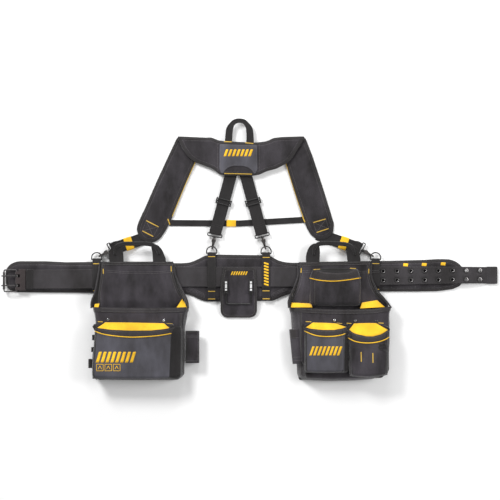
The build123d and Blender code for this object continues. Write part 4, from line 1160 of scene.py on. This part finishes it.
# ---------------------------------------------------------------- pockets
class Loft:
    """A sewn pocket's skin.

    u runs round it from its left foot over the face to the right foot, and t from its rim to its foot."""

    def __init__(self, left, right, rim, foot, base, top, lean=(5, 5), round_foot=15.0, corner=20.0, crown=0.0,
                 crumple=1.2, seed=0.0, folds=(), rim_dip=2.0):
        self.left, self.right, self.rim, self.foot = left, right, rim, foot
        self.base, self.top, self.lean, self.round_foot, self.corner = base, top, lean, round_foot, corner
        self.crown, self.crumple, self.seed, self.folds, self.rim_dip = crown, crumple, seed, folds, rim_dip
        self.rim_y = float(np.mean([p[1] for p in rim]))
        self.foot_y = float(np.mean([p[1] for p in foot]))

    def grid(self, us, ts, lift=0.0):
        rows = []
        for t in ts:
            y = self.rim_y + (self.foot_y - self.rim_y) * t
            d = max(0.0, y - self.foot_y)
            inset, fall = 0.0, 1.0
            if d < self.corner:
                inset = self.corner - math.sqrt(max(0.0, self.corner ** 2 - (self.corner - d) ** 2))
            if d < self.round_foot:
                fall = math.sqrt(max(0.0, 1 - (1 - d / self.round_foot) ** 2)) * 0.97 + 0.03
            x0, x1 = float(on_line(self.left, y)) + inset, float(on_line(self.right, y)) - inset
            z0 = float(self.base(y))
            z1 = z0 + (self.top - z0) * fall - self.rim_dip * (1 - float(ease(t / 0.12)))
            a, b = self.lean
            r, w = 5.0, x1 - x0
            line = [(x0, z0), (x0 + a * 0.3, z0 * 0.5 + z1 * 0.5), (x0 + a, z1 - r), (x0 + a + 0.3 * r, z1 - 0.3 * r),
                    (x0 + a + r, z1), (x0 + w * 0.33, z1 + self.crown), (x0 + w * 0.67, z1 + self.crown),
                    (x1 - b - r, z1), (x1 - b - 0.3 * r, z1 - 0.3 * r), (x1 - b, z1 - r),
                    (x1 - b * 0.3, z0 * 0.5 + z1 * 0.5), (x1, z0)]
            line = soften(np.array(line), 2)
            lengths = lengths_along(line)
            x = np.interp(np.asarray(us) * lengths[-1], lengths, line[:, 0])
            z = np.interp(np.asarray(us) * lengths[-1], lengths, line[:, 1])
            height = np.clip((z - z0) / max(z1 - z0, 1.0), 0, 1)
            at_rim, at_foot = on_line(self.rim, x) - self.rim_y, on_line(self.foot, x) - self.foot_y
            real_y = y + at_rim * (1 - t) ** 2 + at_foot * t ** 2
            spots = np.column_stack([x, real_y])
            soft = rough_up(spots, 42.0, self.crumple, self.seed)
            soft = soft + rough_up(spots, 17.0, self.crumple * 0.3, self.seed)
            for fx, fy0, fy1, deep, wide in self.folds:
                along = ease((real_y - fy1) / 14.0) * ease((fy0 - real_y) / 14.0)
                soft -= deep * np.exp(-((x - fx) / wide) ** 2) * along
            z = z + np.minimum(soft, 0.8) * height * fall * ease((1 - t) / 0.1)
            edge = np.minimum(np.abs(x - x0), np.abs(x - x1))
            bulge = rough_up(np.column_stack([z, real_y]), 26.0, 1.6, self.seed + 5) * np.sin(np.pi * height)
            x = x + bulge * np.exp(-edge / 6.0)
            rows.append(np.column_stack([x, real_y, np.maximum(z, 0.6)]))
        grid = np.array(rows)
        if lift:
            du, dv = np.gradient(grid, axis=0), np.gradient(grid, axis=1)
            grid = grid + unit(np.cross(du, dv)) * lift
        return grid

    def skin(self, thickness, columns, rows, t0=0.0, t1=1.0, lift=0.0):
        """Part of the pocket's skin as cloth of that thickness, its face lifted off the skin."""
        s = np.linspace(0, 1, rows)
        ts = 1 - (1 - t0) * (1 - s) ** 1.5 if t1 >= 1 else t0 + (t1 - t0) * s
        return sheet_of(self.grid(np.linspace(0, 1, columns), ts, lift), thickness)


MAIN_FACE_Z = 53.0        # height of the main pockets' faces, which the front pockets are sewn to


def panel_mid(y):
    return on_line(PANEL_LINE, y)


def soft_folds(spots, folds):
    """Long folds that stand up in a panel: each is (x at top, x at foot, y top, y foot, height, width)."""
    z = np.zeros(len(spots))
    for x0, x1, y0, y1, high, wide in folds:
        t = np.clip((y0 - spots[:, 1]) / (y0 - y1), 0, 1)
        x = x0 + (x1 - x0) * t
        z += high * np.exp(-((spots[:, 0] - x) / wide) ** 2) * np.sin(np.pi * np.clip(t, 0.02, 0.98))
    return z


def web_tunnel(name, x0, x1, body, node):
    """The loop behind a pouch that the belt strap runs through."""
    inward = 50.0 if x0 < 0 else -50.0
    spots = (x0, x1, x0 + inward, x1 + inward)
    y0 = min(float(on_line(STRAP_FOOT, x)) for x in spots) - 3.0
    y1 = max(float(on_line(STRAP_TOP, x)) for x in spots) + 3.0
    piece = Piece(name, body, "pouch_fabric")
    middle = ((x0 + x1) / 2, (y0 + y1) / 2, 16.45)
    piece.add(band(middle, 0, x1 - x0, y1 - y0 - 2.8, 5.4, 1.2), RIM)
    piece.make(node)


def handle(name, body, node, left_leg, right_leg, grip, back, hem):
    """A webbing handle: two flat legs that gather into a folded grip, and the hem that hides the legs' feet."""
    piece = Piece(name, body, "webbing")
    low, high = 23.3, 30.5
    for leg in (left_leg, right_leg):
        loop = ccw(curve(leg, 3.0, 1, True))
        y0, y1 = loop[:, 1].min() + 14, loop[:, 1].max()

        def rise(y):
            return low + (high - low) * ease((y - y0) / (y1 - y0)) ** 1.5

        piece.add(panel(loop, lambda p, d: rise(p[:, 1]) + 2.2 - 0.5 * (1 - ease(d / 1.2)),
                        lambda p, d: rise(p[:, 1]), 5.0, rings=(1.0, 2.2, 4.0), turn=math.pi / 2), STRAP)
    path = curve(grip, 3.0, 2)
    place = np.linspace(0, 1, len(path))
    swell = 0.62 + 0.38 * ease(np.minimum(place, 1 - place) / 0.22)
    profile = [[(-6.4 * s, -1.2), (-6.6 * s, 1.4), (-4.6 * s, 3.8), (-0.8, 4.5), (-0.2, 3.4), (0.4, 4.4),
                (4.2 * s, 3.9), (6.4 * s, 1.6), (6.2 * s, -1.4), (3.2 * s, -2.9), (-3.0 * s, -2.9)] for s in swell]
    piece.add(sweep(path, UP, np.array(profile)), STRAP)
    skin = piece.tree()
    for leg in (left_leg, right_leg):
        line = ring_inside(ccw(curve(leg, 3.0, 1, True)), 4.0)
        line = line[(line[:, 1] > 44) & (line[:, 1] < 78)]
        middle = line[:, 0].mean()
        for side in (line[line[:, 0] < middle], line[line[:, 0] > middle]):
            sew(piece, side[np.argsort(side[:, 1])], skin, look=DARK_THREAD, pitch=3.8)
    low, high = hem
    line = np.array([np.linspace(low[0], high[0], 90), np.linspace(low[1], high[1], 90)]).T
    both = surface_of(piece, *back)
    piece.add(strip(line, line - np.array([0, 10.5]), both, 0.45, 0.9, 7), TAPE)
    skin = piece.tree()
    for off in (-2.6, -8.4):
        sew(piece, line + np.array([0, off]), skin, pitch=4.0)
    piece.make(node)


def front_pocket(name, body, node, loft, main_skin, lens_top, pipe, face_foot, tacks, face, extra=()):
    """A pocket on the front of a pouch: a cloth face, a dark band with piping, and a bright lining in its mouth.  Its
    shell and the corners of its mouth are near-black as painted shade.
    """
    piece = Piece(name, body, "pouch_fabric")
    # The pocket's shell, seen at its sides, is near-black as painted shade.
    piece.add(loft.skin(thickness=1.8, columns=72, rows=48), SHADE_CLOTH)
    skin = piece.tree()
    piece.add(strip(pipe, face_foot, skin, 0.55, 0.9, rows=40, step=2.4), face)
    mouth = curve(loft.rim, 3.0, 2)
    piece.add(strip([(x, y - 0.6) for x, y in mouth], [(x, y + 0.4) for x, y in pipe], skin, 0.35, 0.8, rows=6), RIM)
    skin = piece.tree()
    piece.add(cord(pipe, skin, 1.5, 0.5), YELLOW)
    sew(piece, [(x, y - 4.6) for x, y in mouth], skin, pitch=4.0)
    sew(piece, [(x, y - 4.5) for x, y in pipe], skin, look=DARK_THREAD, pitch=4.0)
    back = curve(lens_top, 3.0, 2)
    rim, _ = drape([(x, y - 1.0) for x, y in mouth], skin, -1.2)
    corner_points = len(rim) // 16
    front = rim[corner_points:-corner_points]
    rear, _ = drape(back, main_skin, 0.5)
    piece.add(face_up(ruled(rear, front, 7, -1.2), 0.7), YELLOW)
    # Near-black corner triangles: painted shade in the gusset folds.
    for start, line in ((0, rear[0]), (-1, rear[-1])):
        corner = np.array([mouth[start][0] * 0.86 + rear[start][0] * 0.14, mouth[start][1] + 6.5, 54.4])
        near = np.array([line, (line + front[start]) / 2, front[start]])
        end = rim[start]
        far = np.array([corner, (corner + end) / 2 + np.array([0, 0, 4.0]), end + np.array([0, 0, 0.4])])
        piece.add(face_up(ruled(near, far, 6, 0.4), 0.9), SHADE_CLOTH)
    both = surface_of(piece)
    for a, b in tacks:
        tack(piece, a, b, main_skin, width=2.6)
    for make in extra:
        make(piece, both)
    piece.make(node)
    return piece


def pouch(side, panel_edge, wings, main, panel_folds, lining, panel_tacks):
    """The parts that both pouches share: back panel with its wings, which are near-black as painted shade, and the
    main pocket.
    """
    body = side + "_pouch"
    cloth_back = Piece(side + "_pouch_back", body, "pouch_fabric")
    back = Piece(side + "_pouch_bindings", body, "pouch_fabric")
    loop = ccw(curve(panel_edge, 4.0, 1, True))

    def face(spots, d):
        z = panel_mid(spots[:, 1]) + 1.1 + soft_folds(spots, panel_folds) * ease(d / 14.0)
        lumps = np.maximum(rough_up(spots, 46.0, 5.0, len(side)), -0.3) * ease(d / 14.0)
        return z + lumps * ease((26 - spots[:, 1]) / 40) - 0.3 * (1 - ease(d / 2))

    cloth_back.add(panel(loop, lambda p, d: np.maximum(face(p, d), 1.2),
                         lambda p, d: np.maximum(face(p, d) - 2.2, 0.15), 5.0, rings=(1.2, 3.0, 6.0, 9.0)), POUCH)
    back.add(bind(loop, panel_mid(loop[:, 1]), 9.6, lambda s: 1.15, lambda s: 1.1, lift=0.8), TAPE)
    skin = surface_of(cloth_back, back)
    upper = loop[:, 1] > -100
    for depth, look in ((8.0, THREAD), (2.6, THREAD)):
        line = ring_inside(loop, depth)
        k = int(np.argmin(line[:, 1]))
        line = np.roll(line, -k, axis=0)
        line = line[line[:, 1] > -96]
        sew(back, line, skin, look=look, pitch=4.0)
    x0, x1 = loop[upper][:, 0].min(), loop[upper][:, 0].max()
    for y, bow in ((15.5, -5.0), (10.5, -5.0)):
        xs = np.linspace(x0 + 28, x1 - 28, 40)
        sew(back, np.column_stack([xs, y + bow * np.sin(np.pi * np.linspace(0, 1, 40))]), skin, pitch=4.0)
    for a, b in panel_tacks:
        tack(back, a, b, skin, width=2.8)
    for line_a, line_b in wings:
        a, b = curve(line_a, 4.0, 2), curve(line_b, 4.0, 2)
        # The wings are near-black as painted shade of the gusset folds.
        back.add(face_up(ruled(a, b, 7, -1.0), 1.6), SHADE_CLOTH)
        back.add(sweep(curve(line_b, 3.0, 2), UP, round_profile(2.3, 8)), WEB)
    for corners in lining:
        a, b = np.array(corners[:2], float), np.array([corners[-1], corners[2]], float)
        back.add(face_up(ruled(a, b, 8, -0.8), 0.8), YELLOW)
    cloth_back.make(side + "_back_panel")
    back.make()

    body_piece = Piece(side + "_main_pocket_shell", body, "pouch_fabric")
    body_piece.add(main.skin(thickness=1.5, columns=110, rows=84), POUCH)
    down = 1 - (1 - 0.01) * (1 - np.linspace(0, 0.97, 36))
    body_piece.add(sheet_of(main.grid(np.linspace(0.02, 0.98, 60), down, -1.6), 0.6), RIM)
    body_piece.add(main.skin(t0=-0.006, t1=0.060, lift=1.3, thickness=1.5, rows=10, columns=110), WEB)
    skin = body_piece.tree()
    for t in (0.012, 0.052):
        rows = main.grid(np.linspace(0.16, 0.84, 90), [t, t + 0.01])[0]
        sew(body_piece, rows[:, :2], skin, pitch=4.2, length=3.2)
    return (cloth_back, back), body_piece


# ---------------------------------------------------------------- the left pouch
LEFT_PANEL = [(-411, 40), (-414, 0), (-420, -38), (-424, -60), (-420, -88), (-428, -112), (-436, -230), (-440, -296),
              (-422, -314), (-182, -314), (-164, -298), (-163, -112), (-158, -95), (-165, -70), (-180, -44),
              (-190, -16), (-196, 10), (-196, 40)]
LEFT_WINGS = [
    ([(-411, 36, 21), (-413, 0, 21), (-420, -40, 21), (-423, -62, 22), (-419, -92, 23)],
     [(-417, 37, 21), (-421, 0, 24), (-430, -50, 35), (-441, -78, 47), (-440, -97, 51)]),
    ([(-196, 36, 21), (-196, 8, 21), (-188, -18, 21), (-178, -46, 22), (-163, -72, 22), (-157, -96, 24)],
     [(-192, 37, 21), (-193, 12, 23), (-184, -14, 28), (-168, -46, 36), (-152, -74, 47), (-150, -97, 51)]),
]
left_main = Loft([(-97, -436), (-120, -433), (-140, -430), (-160, -429), (-200, -431), (-240, -440), (-280, -441),
                  (-300, -438), (-316, -432)],
                 [(-97, -150), (-120, -154), (-140, -158), (-160, -162), (-260, -163), (-300, -164), (-316, -168)],
                 [(-440, -95), (-400, -96.5), (-330, -98), (-250, -98), (-190, -97), (-150, -95)],
                 [(-440, -311), (-380, -315), (-300, -315.5), (-200, -315), (-160, -312)],
                 lambda y: panel_mid(y) + 1.0, 53.2, lean=(5, 7), crown=-0.5, crumple=1.5, seed=2.0,
                 folds=((-402, -90, -150, 1.6, 7), (-330, -96, -146, 0.8, 12), (-240, -94, -148, 1.2, 8)))
left_lining = [
    ((-431, -95, 50), (-430, -85, 40), (-417, -84, 30), (-419, -95, 44)),
    ((-186, -96.5, 44), (-169, -70, 25), (-161, -82, 36), (-154, -96.5, 48)),
]
web_tunnel("left_pouch_tunnel", -398, -212, "left_pouch", "left_belt_tunnel")
left_back, left_body = pouch(
    "left", LEFT_PANEL, LEFT_WINGS, left_main,
    ((-392, -404, 22, -130, 8.0, 9), (-372, -352, 20, -130, 6.0, 11), (-310, -292, 6, -130, 5.0, 17),
     (-240, -214, 22, -130, 7.0, 10), (-216, -182, 10, -120, 7.0, 8), (-332, -345, -20, -130, 4.0, 12)),
    left_lining, (((-406, 5), (-406.5, 20)), ((-202, 12), (-202.5, 28))))
skin = left_body.tree()
line = [(-172.5, -112), (-172.8, -200), (-173, -292)]
left_body.add(strip([(x - 2.6, y) for x, y in line], [(x + 2.6, y) for x, y in line], skin, 0.3, 0.8, 4), TAPE)
skin = left_body.tree()
for off in (-1.9, 1.9):
    sew(left_body, [(x + off, y) for x, y in line], skin, pitch=4.0)
left_body.add(cord([(-166.5, y) for y in (-112, -150, -200, -250, -296)], skin, 1.5, 0.3), TAPE)
left_body.make("left_main_pocket")

left_front = Loft([(-150, -428), (-200, -431), (-260, -437), (-316, -437)],
                  [(-150, -172), (-180, -170), (-316, -172)],
                  [(-436, -151), (-415, -156), (-380, -161), (-320, -163.5), (-260, -163), (-215, -158),
                   (-190, -151)],
                  [(-440, -309), (-300, -311.5), (-165, -309)],
                  lambda y: MAIN_FACE_Z, 76.5, lean=(4, 30), round_foot=11.0, corner=13.0, crown=0.6, crumple=0.8,
                  seed=6.0, rim_dip=6.0, folds=((-190, -165, -300, 2.6, 3), (-180, -165, -300, 2.0, 2.6)))


def left_badges(piece, skin):
    bars(piece, (-364.5, -242.5), 116.0, 32.0, 8, 0.3, skin, 0.1)
    for k in range(3):
        x = -412 + k * 25
        box = [(x - 10, -263.5), (x + 10, -263.5), (x + 10, -283), (x - 10, -283), (x - 10, -263.5)]
        chevron = [(x - 5, -278), (x, -268.5), (x + 5, -278)]
        for line, step, foot, crest in ((box, 1.5, 0.7, 0.6), (chevron, 1.2, 0.8, 0.7)):
            path, normals = drape(resample(line, step), skin, 0.25)
            piece.add(sweep(path, normals, [(-foot, 0), (-crest, 0.5), (crest, 0.5), (foot, 0)]), YELLOW)


front_pocket("left_pouch_front", "left_pouch", "left_front_pocket", left_front, skin,
             [(-398, -139.5), (-340, -140), (-300, -140.5), (-222, -142.5)],
             nominal((-429, -165), (-400, -175.5), (-340, -182.5), (-300, -183), (-240, -179), (-200, -172)),
             nominal((-436, -308), (-300, -311), (-206, -309)),
             (((-420, -137.5), (-405, -138.5)), ((-215, -143.5), (-197, -144.5))), COATED, (left_badges,))

handle("left_pouch_handle", "left_pouch", "left_handle",
       [(-387, 34), (-389.5, 52), (-389, 70), (-382, 84), (-371, 93), (-356, 92), (-348, 80), (-345.5, 60),
        (-345, 34)],
       [(-257, 34), (-257.5, 52), (-259, 72), (-263, 90), (-252, 95), (-239, 90), (-228, 75), (-219, 52), (-217, 34)],
       [(-371, 62, 25.0), (-371, 76, 27.5), (-366, 88, 30.0), (-350, 95.0, 32), (-310, 95.5, 32.5), (-275, 95.5, 32),
        (-256, 92, 30.5), (-245, 80, 28), (-239, 64, 25.5)],
       left_back, ((-411.5, 41), (-195.5, 41)))

sheath = Piece("left_pouch_tool_sleeve", "left_pouch", "pouch_fabric")
path = resample(np.array([(-138.3, y, 31.0) for y in (-262, -166)]), 4.0)
tube = [(-21, -6), (-20, 6), (-15, 9), (0, 9.2), (15, 9), (20, 6), (21, -6), (15, -9), (0, -9.2), (-15, -9)]
inner = [(s * 0.9, z * 0.82) for s, z in tube]
sheath.add(open_tube(path, rounded(tube), rounded(inner)), POUCH)
skin = sheath.tree()
for y, w in ((-169.5, 3.4), (-259.0, 3.4)):
    sheath.add(strip([(-157.5, y - w), (-119.0, y - w)], [(-157.5, y + w), (-119.0, y + w)], skin, 0.3, 0.8, 4), TAPE)
skin = sheath.tree()
for y in (-181.0, -184.5, -255.5):
    sew(sheath, [(-157, y), (-120, y)], skin, pitch=3.8)
sew(sheath, [(-122.5, -174), (-122.5, -254)], skin, pitch=3.8)
sheath.make("left_tool_sleeve")

loops = Piece("left_pouch_side_loops", "left_pouch", "webbing")
for y, reach, length in ((-186, 9, 16), (-222, 6, 14), (-264, 10, 26)):
    x1 = float(on_line(left_main.left, y)) + 1.0
    line = [(x1 + 2, 18.5), (x1 - reach * 0.5, 17.4), (x1 - reach, 22), (x1 - reach - 0.4, 29), (x1 - reach, 36),
            (x1 - reach * 0.5, 40.2), (x1 + 2, 39.2)]
    path = [(px, y, pz) for px, pz in curve(line, 1.5, 2)]
    loops.add(ribbon(path, (0, 1, 0), web_profile(length, 1.4)), STRAP)
loops.make("left_side_loops")

# ---------------------------------------------------------------- the right pouch
RIGHT_PANEL = [(182, 38), (290, 39), (395, 42), (394, 4), (400, -24), (412, -47), (428, -64), (446, -82), (452, -98),
               (453, -286), (432, -308), (330, -314), (182, -314), (172, -230), (160, -112), (153, -88), (158, -70),
               (170, -46), (180, -18), (184, 4)]
RIGHT_WINGS = [
    ([(183, 34, 21), (184, 2, 21), (178, -18, 21), (168, -46, 22), (157, -70, 22), (155, -94, 24)],
     [(178, 34, 21), (180, 0, 23), (173, -20, 27), (162, -46, 35), (148, -74, 47), (150, -97, 51)]),
    ([(395, 38, 22.6), (394, 4, 22.6), (400, -24, 22), (413, -48, 22), (430, -66, 23), (450, -90, 25)],
     [(400, 38, 23.2), (397, 2, 24), (405, -24, 27), (419, -50, 34), (440, -72, 44), (457, -96, 51)]),
]
right_main = Loft([(-97, 152), (-120, 157), (-160, 160), (-250, 163), (-265, 175), (-300, 177), (-320, 179)],
                  [(-97, 458), (-120, 454), (-200, 455), (-260, 452), (-285, 448), (-300, 441), (-320, 434)],
                  [(150, -95), (190, -98), (260, -102), (330, -103), (400, -101), (430, -97), (458, -93)],
                  [(165, -312), (180, -314), (280, -318), (350, -316), (400, -312), (435, -303), (450, -298)],
                  lambda y: panel_mid(y) + 1.0, 53.2, lean=(23, 5), crown=-0.5, crumple=1.5, seed=12.0,
                  folds=((205, -96, -146, 1.2, 9), (320, -98, -150, 1.6, 8), (430, -96, -150, 1.5, 7)))
right_lining = [
    ((157, -95, 47), (159, -81, 34), (219, -84, 20), (221, -95, 40)),
    ((364, -98, 46), (371, -81, 26), (416, -74, 30), (438, -94, 46)),
]
web_tunnel("right_pouch_tunnel", 200, 386, "right_pouch", "right_belt_tunnel")
right_back, right_body = pouch(
    "right", RIGHT_PANEL, RIGHT_WINGS, right_main,
    ((196, 186, 20, -120, 5.0, 8), (386, 410, 20, -120, 7.0, 9), (204, 178, 0, -120, 4.0, 7)),
    right_lining, (((391, 6), (391.5, 20)), ((188, 8), (188.4, 22))))
skin = right_body.tree()
line = [(186, -108), (187, -200), (188, -308)]
right_body.add(strip([(x - 2.8, y) for x, y in line], [(x + 2.8, y) for x, y in line], skin, 0.3, 0.8, 4), TAPE)
skin = right_body.tree()
for off in (-2.0, 2.0):
    sew(right_body, [(x + off, y) for x, y in line], skin, pitch=4.0)
right_body.make("right_main_pocket")

pocket_a = Loft([(-150, 197), (-200, 197), (-300, 197)], [(-150, 327), (-200, 331), (-300, 329)],
                [(194, -152), (215, -158), (250, -161.5), (285, -161.5), (310, -157), (330, -151)],
                [(190, -290), (260, -292), (330, -290)], lambda y: MAIN_FACE_Z, 75.5, lean=(4, 15), round_foot=10.0,
                corner=11.0, crown=0.5, crumple=0.8, seed=21.0, rim_dip=6.0, folds=((322, -165, -286, 2.0, 3.5),))


def badge_a(piece, skin):
    bars(piece, (260, -224), 94.0, 27.0, 8, 0.35, skin, 0.1)


front_pocket("right_pouch_front_inner", "right_pouch", "right_front_pocket_inner", pocket_a, skin,
             [(222, -140.0), (245, -140.5), (270, -141.5), (290, -142.5)],
             nominal((197, -165), (225, -177.5), (250, -181), (276, -181), (300, -178.5), (318, -173)),
             nominal((198, -289), (260, -291.5), (315, -289.5)),
             (((201, -137.5), (218, -138.5)), ((293, -142.5), (310, -143.5))), COATED, (badge_a,))

pocket_b = Loft([(-150, 326), (-200, 328), (-300, 331)], [(-150, 452), (-200, 451), (-300, 447)],
                [(324, -158), (345, -172), (380, -180.5), (400, -181), (425, -175), (452, -158)],
                [(325, -302), (390, -305), (450, -298)], lambda y: MAIN_FACE_Z, 76.0, lean=(6, 8), round_foot=12.0,
                corner=14.0, crown=0.8, crumple=0.9, seed=31.0, rim_dip=6.0, folds=((336, -180, -300, 1.4, 4),))


def details_b(piece, skin):
    tack(piece, (365, -227), (365.5, -256), skin, width=3.0)
    tack(piece, (400, -230), (400.5, -259), skin, width=3.0)
    sew(piece, [(334, -214), (390, -216), (444, -212)], skin, look=DARK_THREAD)
    for dx, dy, size in ((0, 0, 1.0), (4, -6, 0.8), (-6, -3, 0.7)):
        turns = np.linspace(0, 5.6, 26)
        ring = np.array([(429 + dx + 11 * size * math.cos(a),
                          -211 + dy + 8 * size * math.sin(a) + 3 * math.sin(2 * a)) for a in turns])
        piece.add(cord(ring, skin, 1.3, 0.9, 8), STRAP)
    tack(piece, (418, -205), (440, -207), skin, look=STRAP, width=6.0)


front_pocket("right_pouch_front_outer", "right_pouch", "right_front_pocket_outer", pocket_b, skin,
             [(345, -143.0), (370, -142), (390, -141.5), (412, -142)],
             nominal((322, -182), (345, -196.5), (385, -201.5), (425, -196), (450, -183)),
             nominal((332, -300), (390, -304.5), (445, -297)),
             (((323, -142.5), (338, -143.5)), ((418, -141.5), (434, -142.5))), POUCH, (details_b,))

handle("right_pouch_handle", "right_pouch", "right_handle",
       [(203, 34), (202, 54), (205, 72), (213, 88), (226, 97), (240, 94), (245, 76), (244, 54), (243, 34)],
       [(328, 36), (326, 54), (323, 74), (326, 88), (340, 93), (352, 87), (361, 74), (366, 56), (367, 36)],
       [(226, 62, 25), (225, 76, 27.5), (230, 89, 30), (246, 97.0, 32), (290, 96.5, 32.5), (322, 93.5, 32),
        (338, 88, 30.5), (346, 77, 28), (348, 62, 25)],
       right_back, ((181, 39), (396, 43)))

upper = Piece("right_pouch_upper_pocket", "right_pouch", "pouch_fabric")
loft = Loft([(-96, 214), (-30, 213.5), (-8, 214), (20, 225)], [(-96, 366), (-30, 368), (-8, 367), (20, 356)],
            [(225, 20), (236, 17), (256, 10.5), (290, 8), (328, 10), (346, 16.5), (356, 20)],
            [(214, -91), (290, -92.5), (368, -91)],
            lambda y: 22.4, 37.0, lean=(14, 3), round_foot=16.0, corner=9.0, crown=0.4, crumple=0.9, seed=41.0,
            rim_dip=3.0, folds=((224, 10, -84, 1.6, 3.5), (290, -4, -70, 0.8, 18)))
upper.add(loft.skin(thickness=1.5, columns=72, rows=48), POUCH)
skin = upper.tree()
mouth, _ = drape([(x, y - 1) for x, y in curve(loft.rim, 3.0, 2)], skin, -1.0)
back_line = np.array([(x, 22.0 - 0.002 * (x - 290) ** 2 * 0.4, 23.6) for x in np.linspace(226, 355, 30)])
# A near-black sheet inside the mouth: painted shade.
upper.add(sheet_of(ruled(back_line, mouth, 6, -1.5), 0.8, True), SHADE_CLOTH)
pipe = nominal((214, -8), (240, -14.5), (285, -18), (330, -13), (367, -7))
upper.add(strip([(x, y - 1.0) for x, y in curve(loft.rim, 3.0, 2)], pipe, skin, 0.3, 0.8, 8), RIM)
skin = upper.tree()
upper.add(cord(pipe, skin, 1.4, 0.4), YELLOW)
sew(upper, [(x, y - 4.0) for x, y in curve(loft.rim, 3.0, 2)], skin)
sew(upper, [(x, y + 4.0) for x, y in pipe], skin)
sew(upper, [(228.5, -16), (228.5, -86)], skin)
for a, b in (((225, 17.5), (245, 19.0)), ((335, 21.5), (353, 20.5))):
    tack(upper, a, b, surface_of(upper, *right_back), width=2.6)
upper.make("right_upper_pocket")

sleeve = Piece("right_pouch_tool_sleeve", "right_pouch", "pouch_fabric")
slant = math.radians(5.76)
center, along = np.array((158.0, -97.0)), np.array((math.sin(slant), -math.cos(slant)))
across = np.array((-math.cos(slant), -math.sin(slant)))
path = []
for s in np.linspace(64, 168, 27):
    x, y = center + along * s + across * -1.5
    path.append((x, y, 38.0))
tube = [(-17, -6.5), (-18, 0), (-14, 5.5), (-5, 6.8), (5, 6.8), (14, 5.5), (18, 0), (17, -6.5), (6, -7), (-6, -7)]
outward = np.array([across[0] * 0.62, across[1] * 0.62, 0.78])
sleeve.add(open_tube(np.array(path), rounded(tube), rounded([(s * 0.88, z * 0.76) for s, z in tube]), outward), POUCH)
skin = sleeve.tree()


def beside(s, off):
    return tuple(center + along * s + across * off)


sleeve.add(strip([beside(65, -13), beside(65, 11)], [beside(92, -13), beside(92, 11)], skin, 0.3, 0.8, 8), RIM)
skin = sleeve.tree()
for s in (90.0, 148.0, 158.0):
    sew(sleeve, [beside(s, -14), beside(s, 12.0)], skin, pitch=3.4)
sleeve.make("right_tool_sleeve")

# ---------------------------------------------------------------- pieces that stand for the remaining soft nodes
pad.make("belt_pad")
strap.make("belt_strap")
keeper.make("belt_keeper")
marks.make("belt_size_tabs")
tab.make("buckle_tab")
front_tabs.make("front_d_ring_tabs")
back_tabs.make("back_d_ring_tabs")
chest_band.make("chest_keeper")
yoke.make("yoke_body")
patch.make("yoke_panel")
patch_trim.make()
hang.make("hanging_loop")
holder.make("hammer_holder")
holder_trim.make()
sleeves.make("hammer_loop_sleeves")

FINISH = {"belt_eyelets": EYELET, "buckle_frame": BUCKLE, "buckle_roller": BUCKLE, "buckle_prongs": BUCKLE,
          "front_snap_eyes": BLACK_WIRE, "back_snap_eyes": BLACK_WIRE, "adjuster_left": DARK_PLASTIC,
          "adjuster_right": DARK_PLASTIC, "hammer_loop": BLACK_WIRE, "left_rivets": LEFT_RIVET,
          "right_rivets": RIGHT_RIVET}
for name in RINGS:
    FINISH["d_ring_" + name] = BLACK_WIRE
    FINISH["snap_hook_" + name] = GUNMETAL
    FINISH["snap_gate_" + name] = GUNMETAL
for name, look in FINISH.items():
    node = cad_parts[name]
    node.data.materials.clear()
    node.data.materials.append(look)

# ---------------------------------------------------------------- studio
floor_mesh = bpy.data.meshes.new("studio_floor")
floor_mesh.from_pydata([(-6, -6, -0.0006), (6, -6, -0.0006), (6, 6, -0.0006), (-6, 6, -0.0006)], [], [(0, 1, 2, 3)])
floor = bpy.data.objects.new("studio_floor", floor_mesh)
bpy.context.scene.collection.objects.link(floor)
floor_mesh.materials.append(plain_floor())


def softbox(name, place, size, power):
    """A round area light that faces the origin."""
    light = bpy.data.lights.new(name, "AREA")
    light.shape, light.size, light.energy = "DISK", size, power
    obj = bpy.data.objects.new(name, light)
    obj.location = place
    obj.rotation_euler = (-Vector(place)).to_track_quat("-Z", "Y").to_euler()
    bpy.context.scene.collection.objects.link(obj)
    return obj


lights = [softbox("key", (-2.0, 2.4, 2.6), 1.3, 120), softbox("fill", (2.4, 0.4, 2.4), 1.6, 50),
          softbox("top", (0.2, 3.4, 1.5), 1.2, 40)]
world = bpy.data.worlds.new("studio_world")
world.use_nodes = True
world.node_tree.nodes["Background"].inputs[0].default_value = (1.0, 1.0, 1.0, 1.0)
world.node_tree.nodes["Background"].inputs[1].default_value = 0.42
scene = bpy.context.scene
scene.world = world
scene.view_settings.view_transform = "Standard"
camera_data = bpy.data.cameras.new("camera")
camera_data.lens, camera_data.sensor_width = 135.0, 36.0
camera = bpy.data.objects.new("camera", camera_data)
camera.location = (0.0345, 0.0765, 5.655)
scene.collection.objects.link(camera)
scene.camera = camera
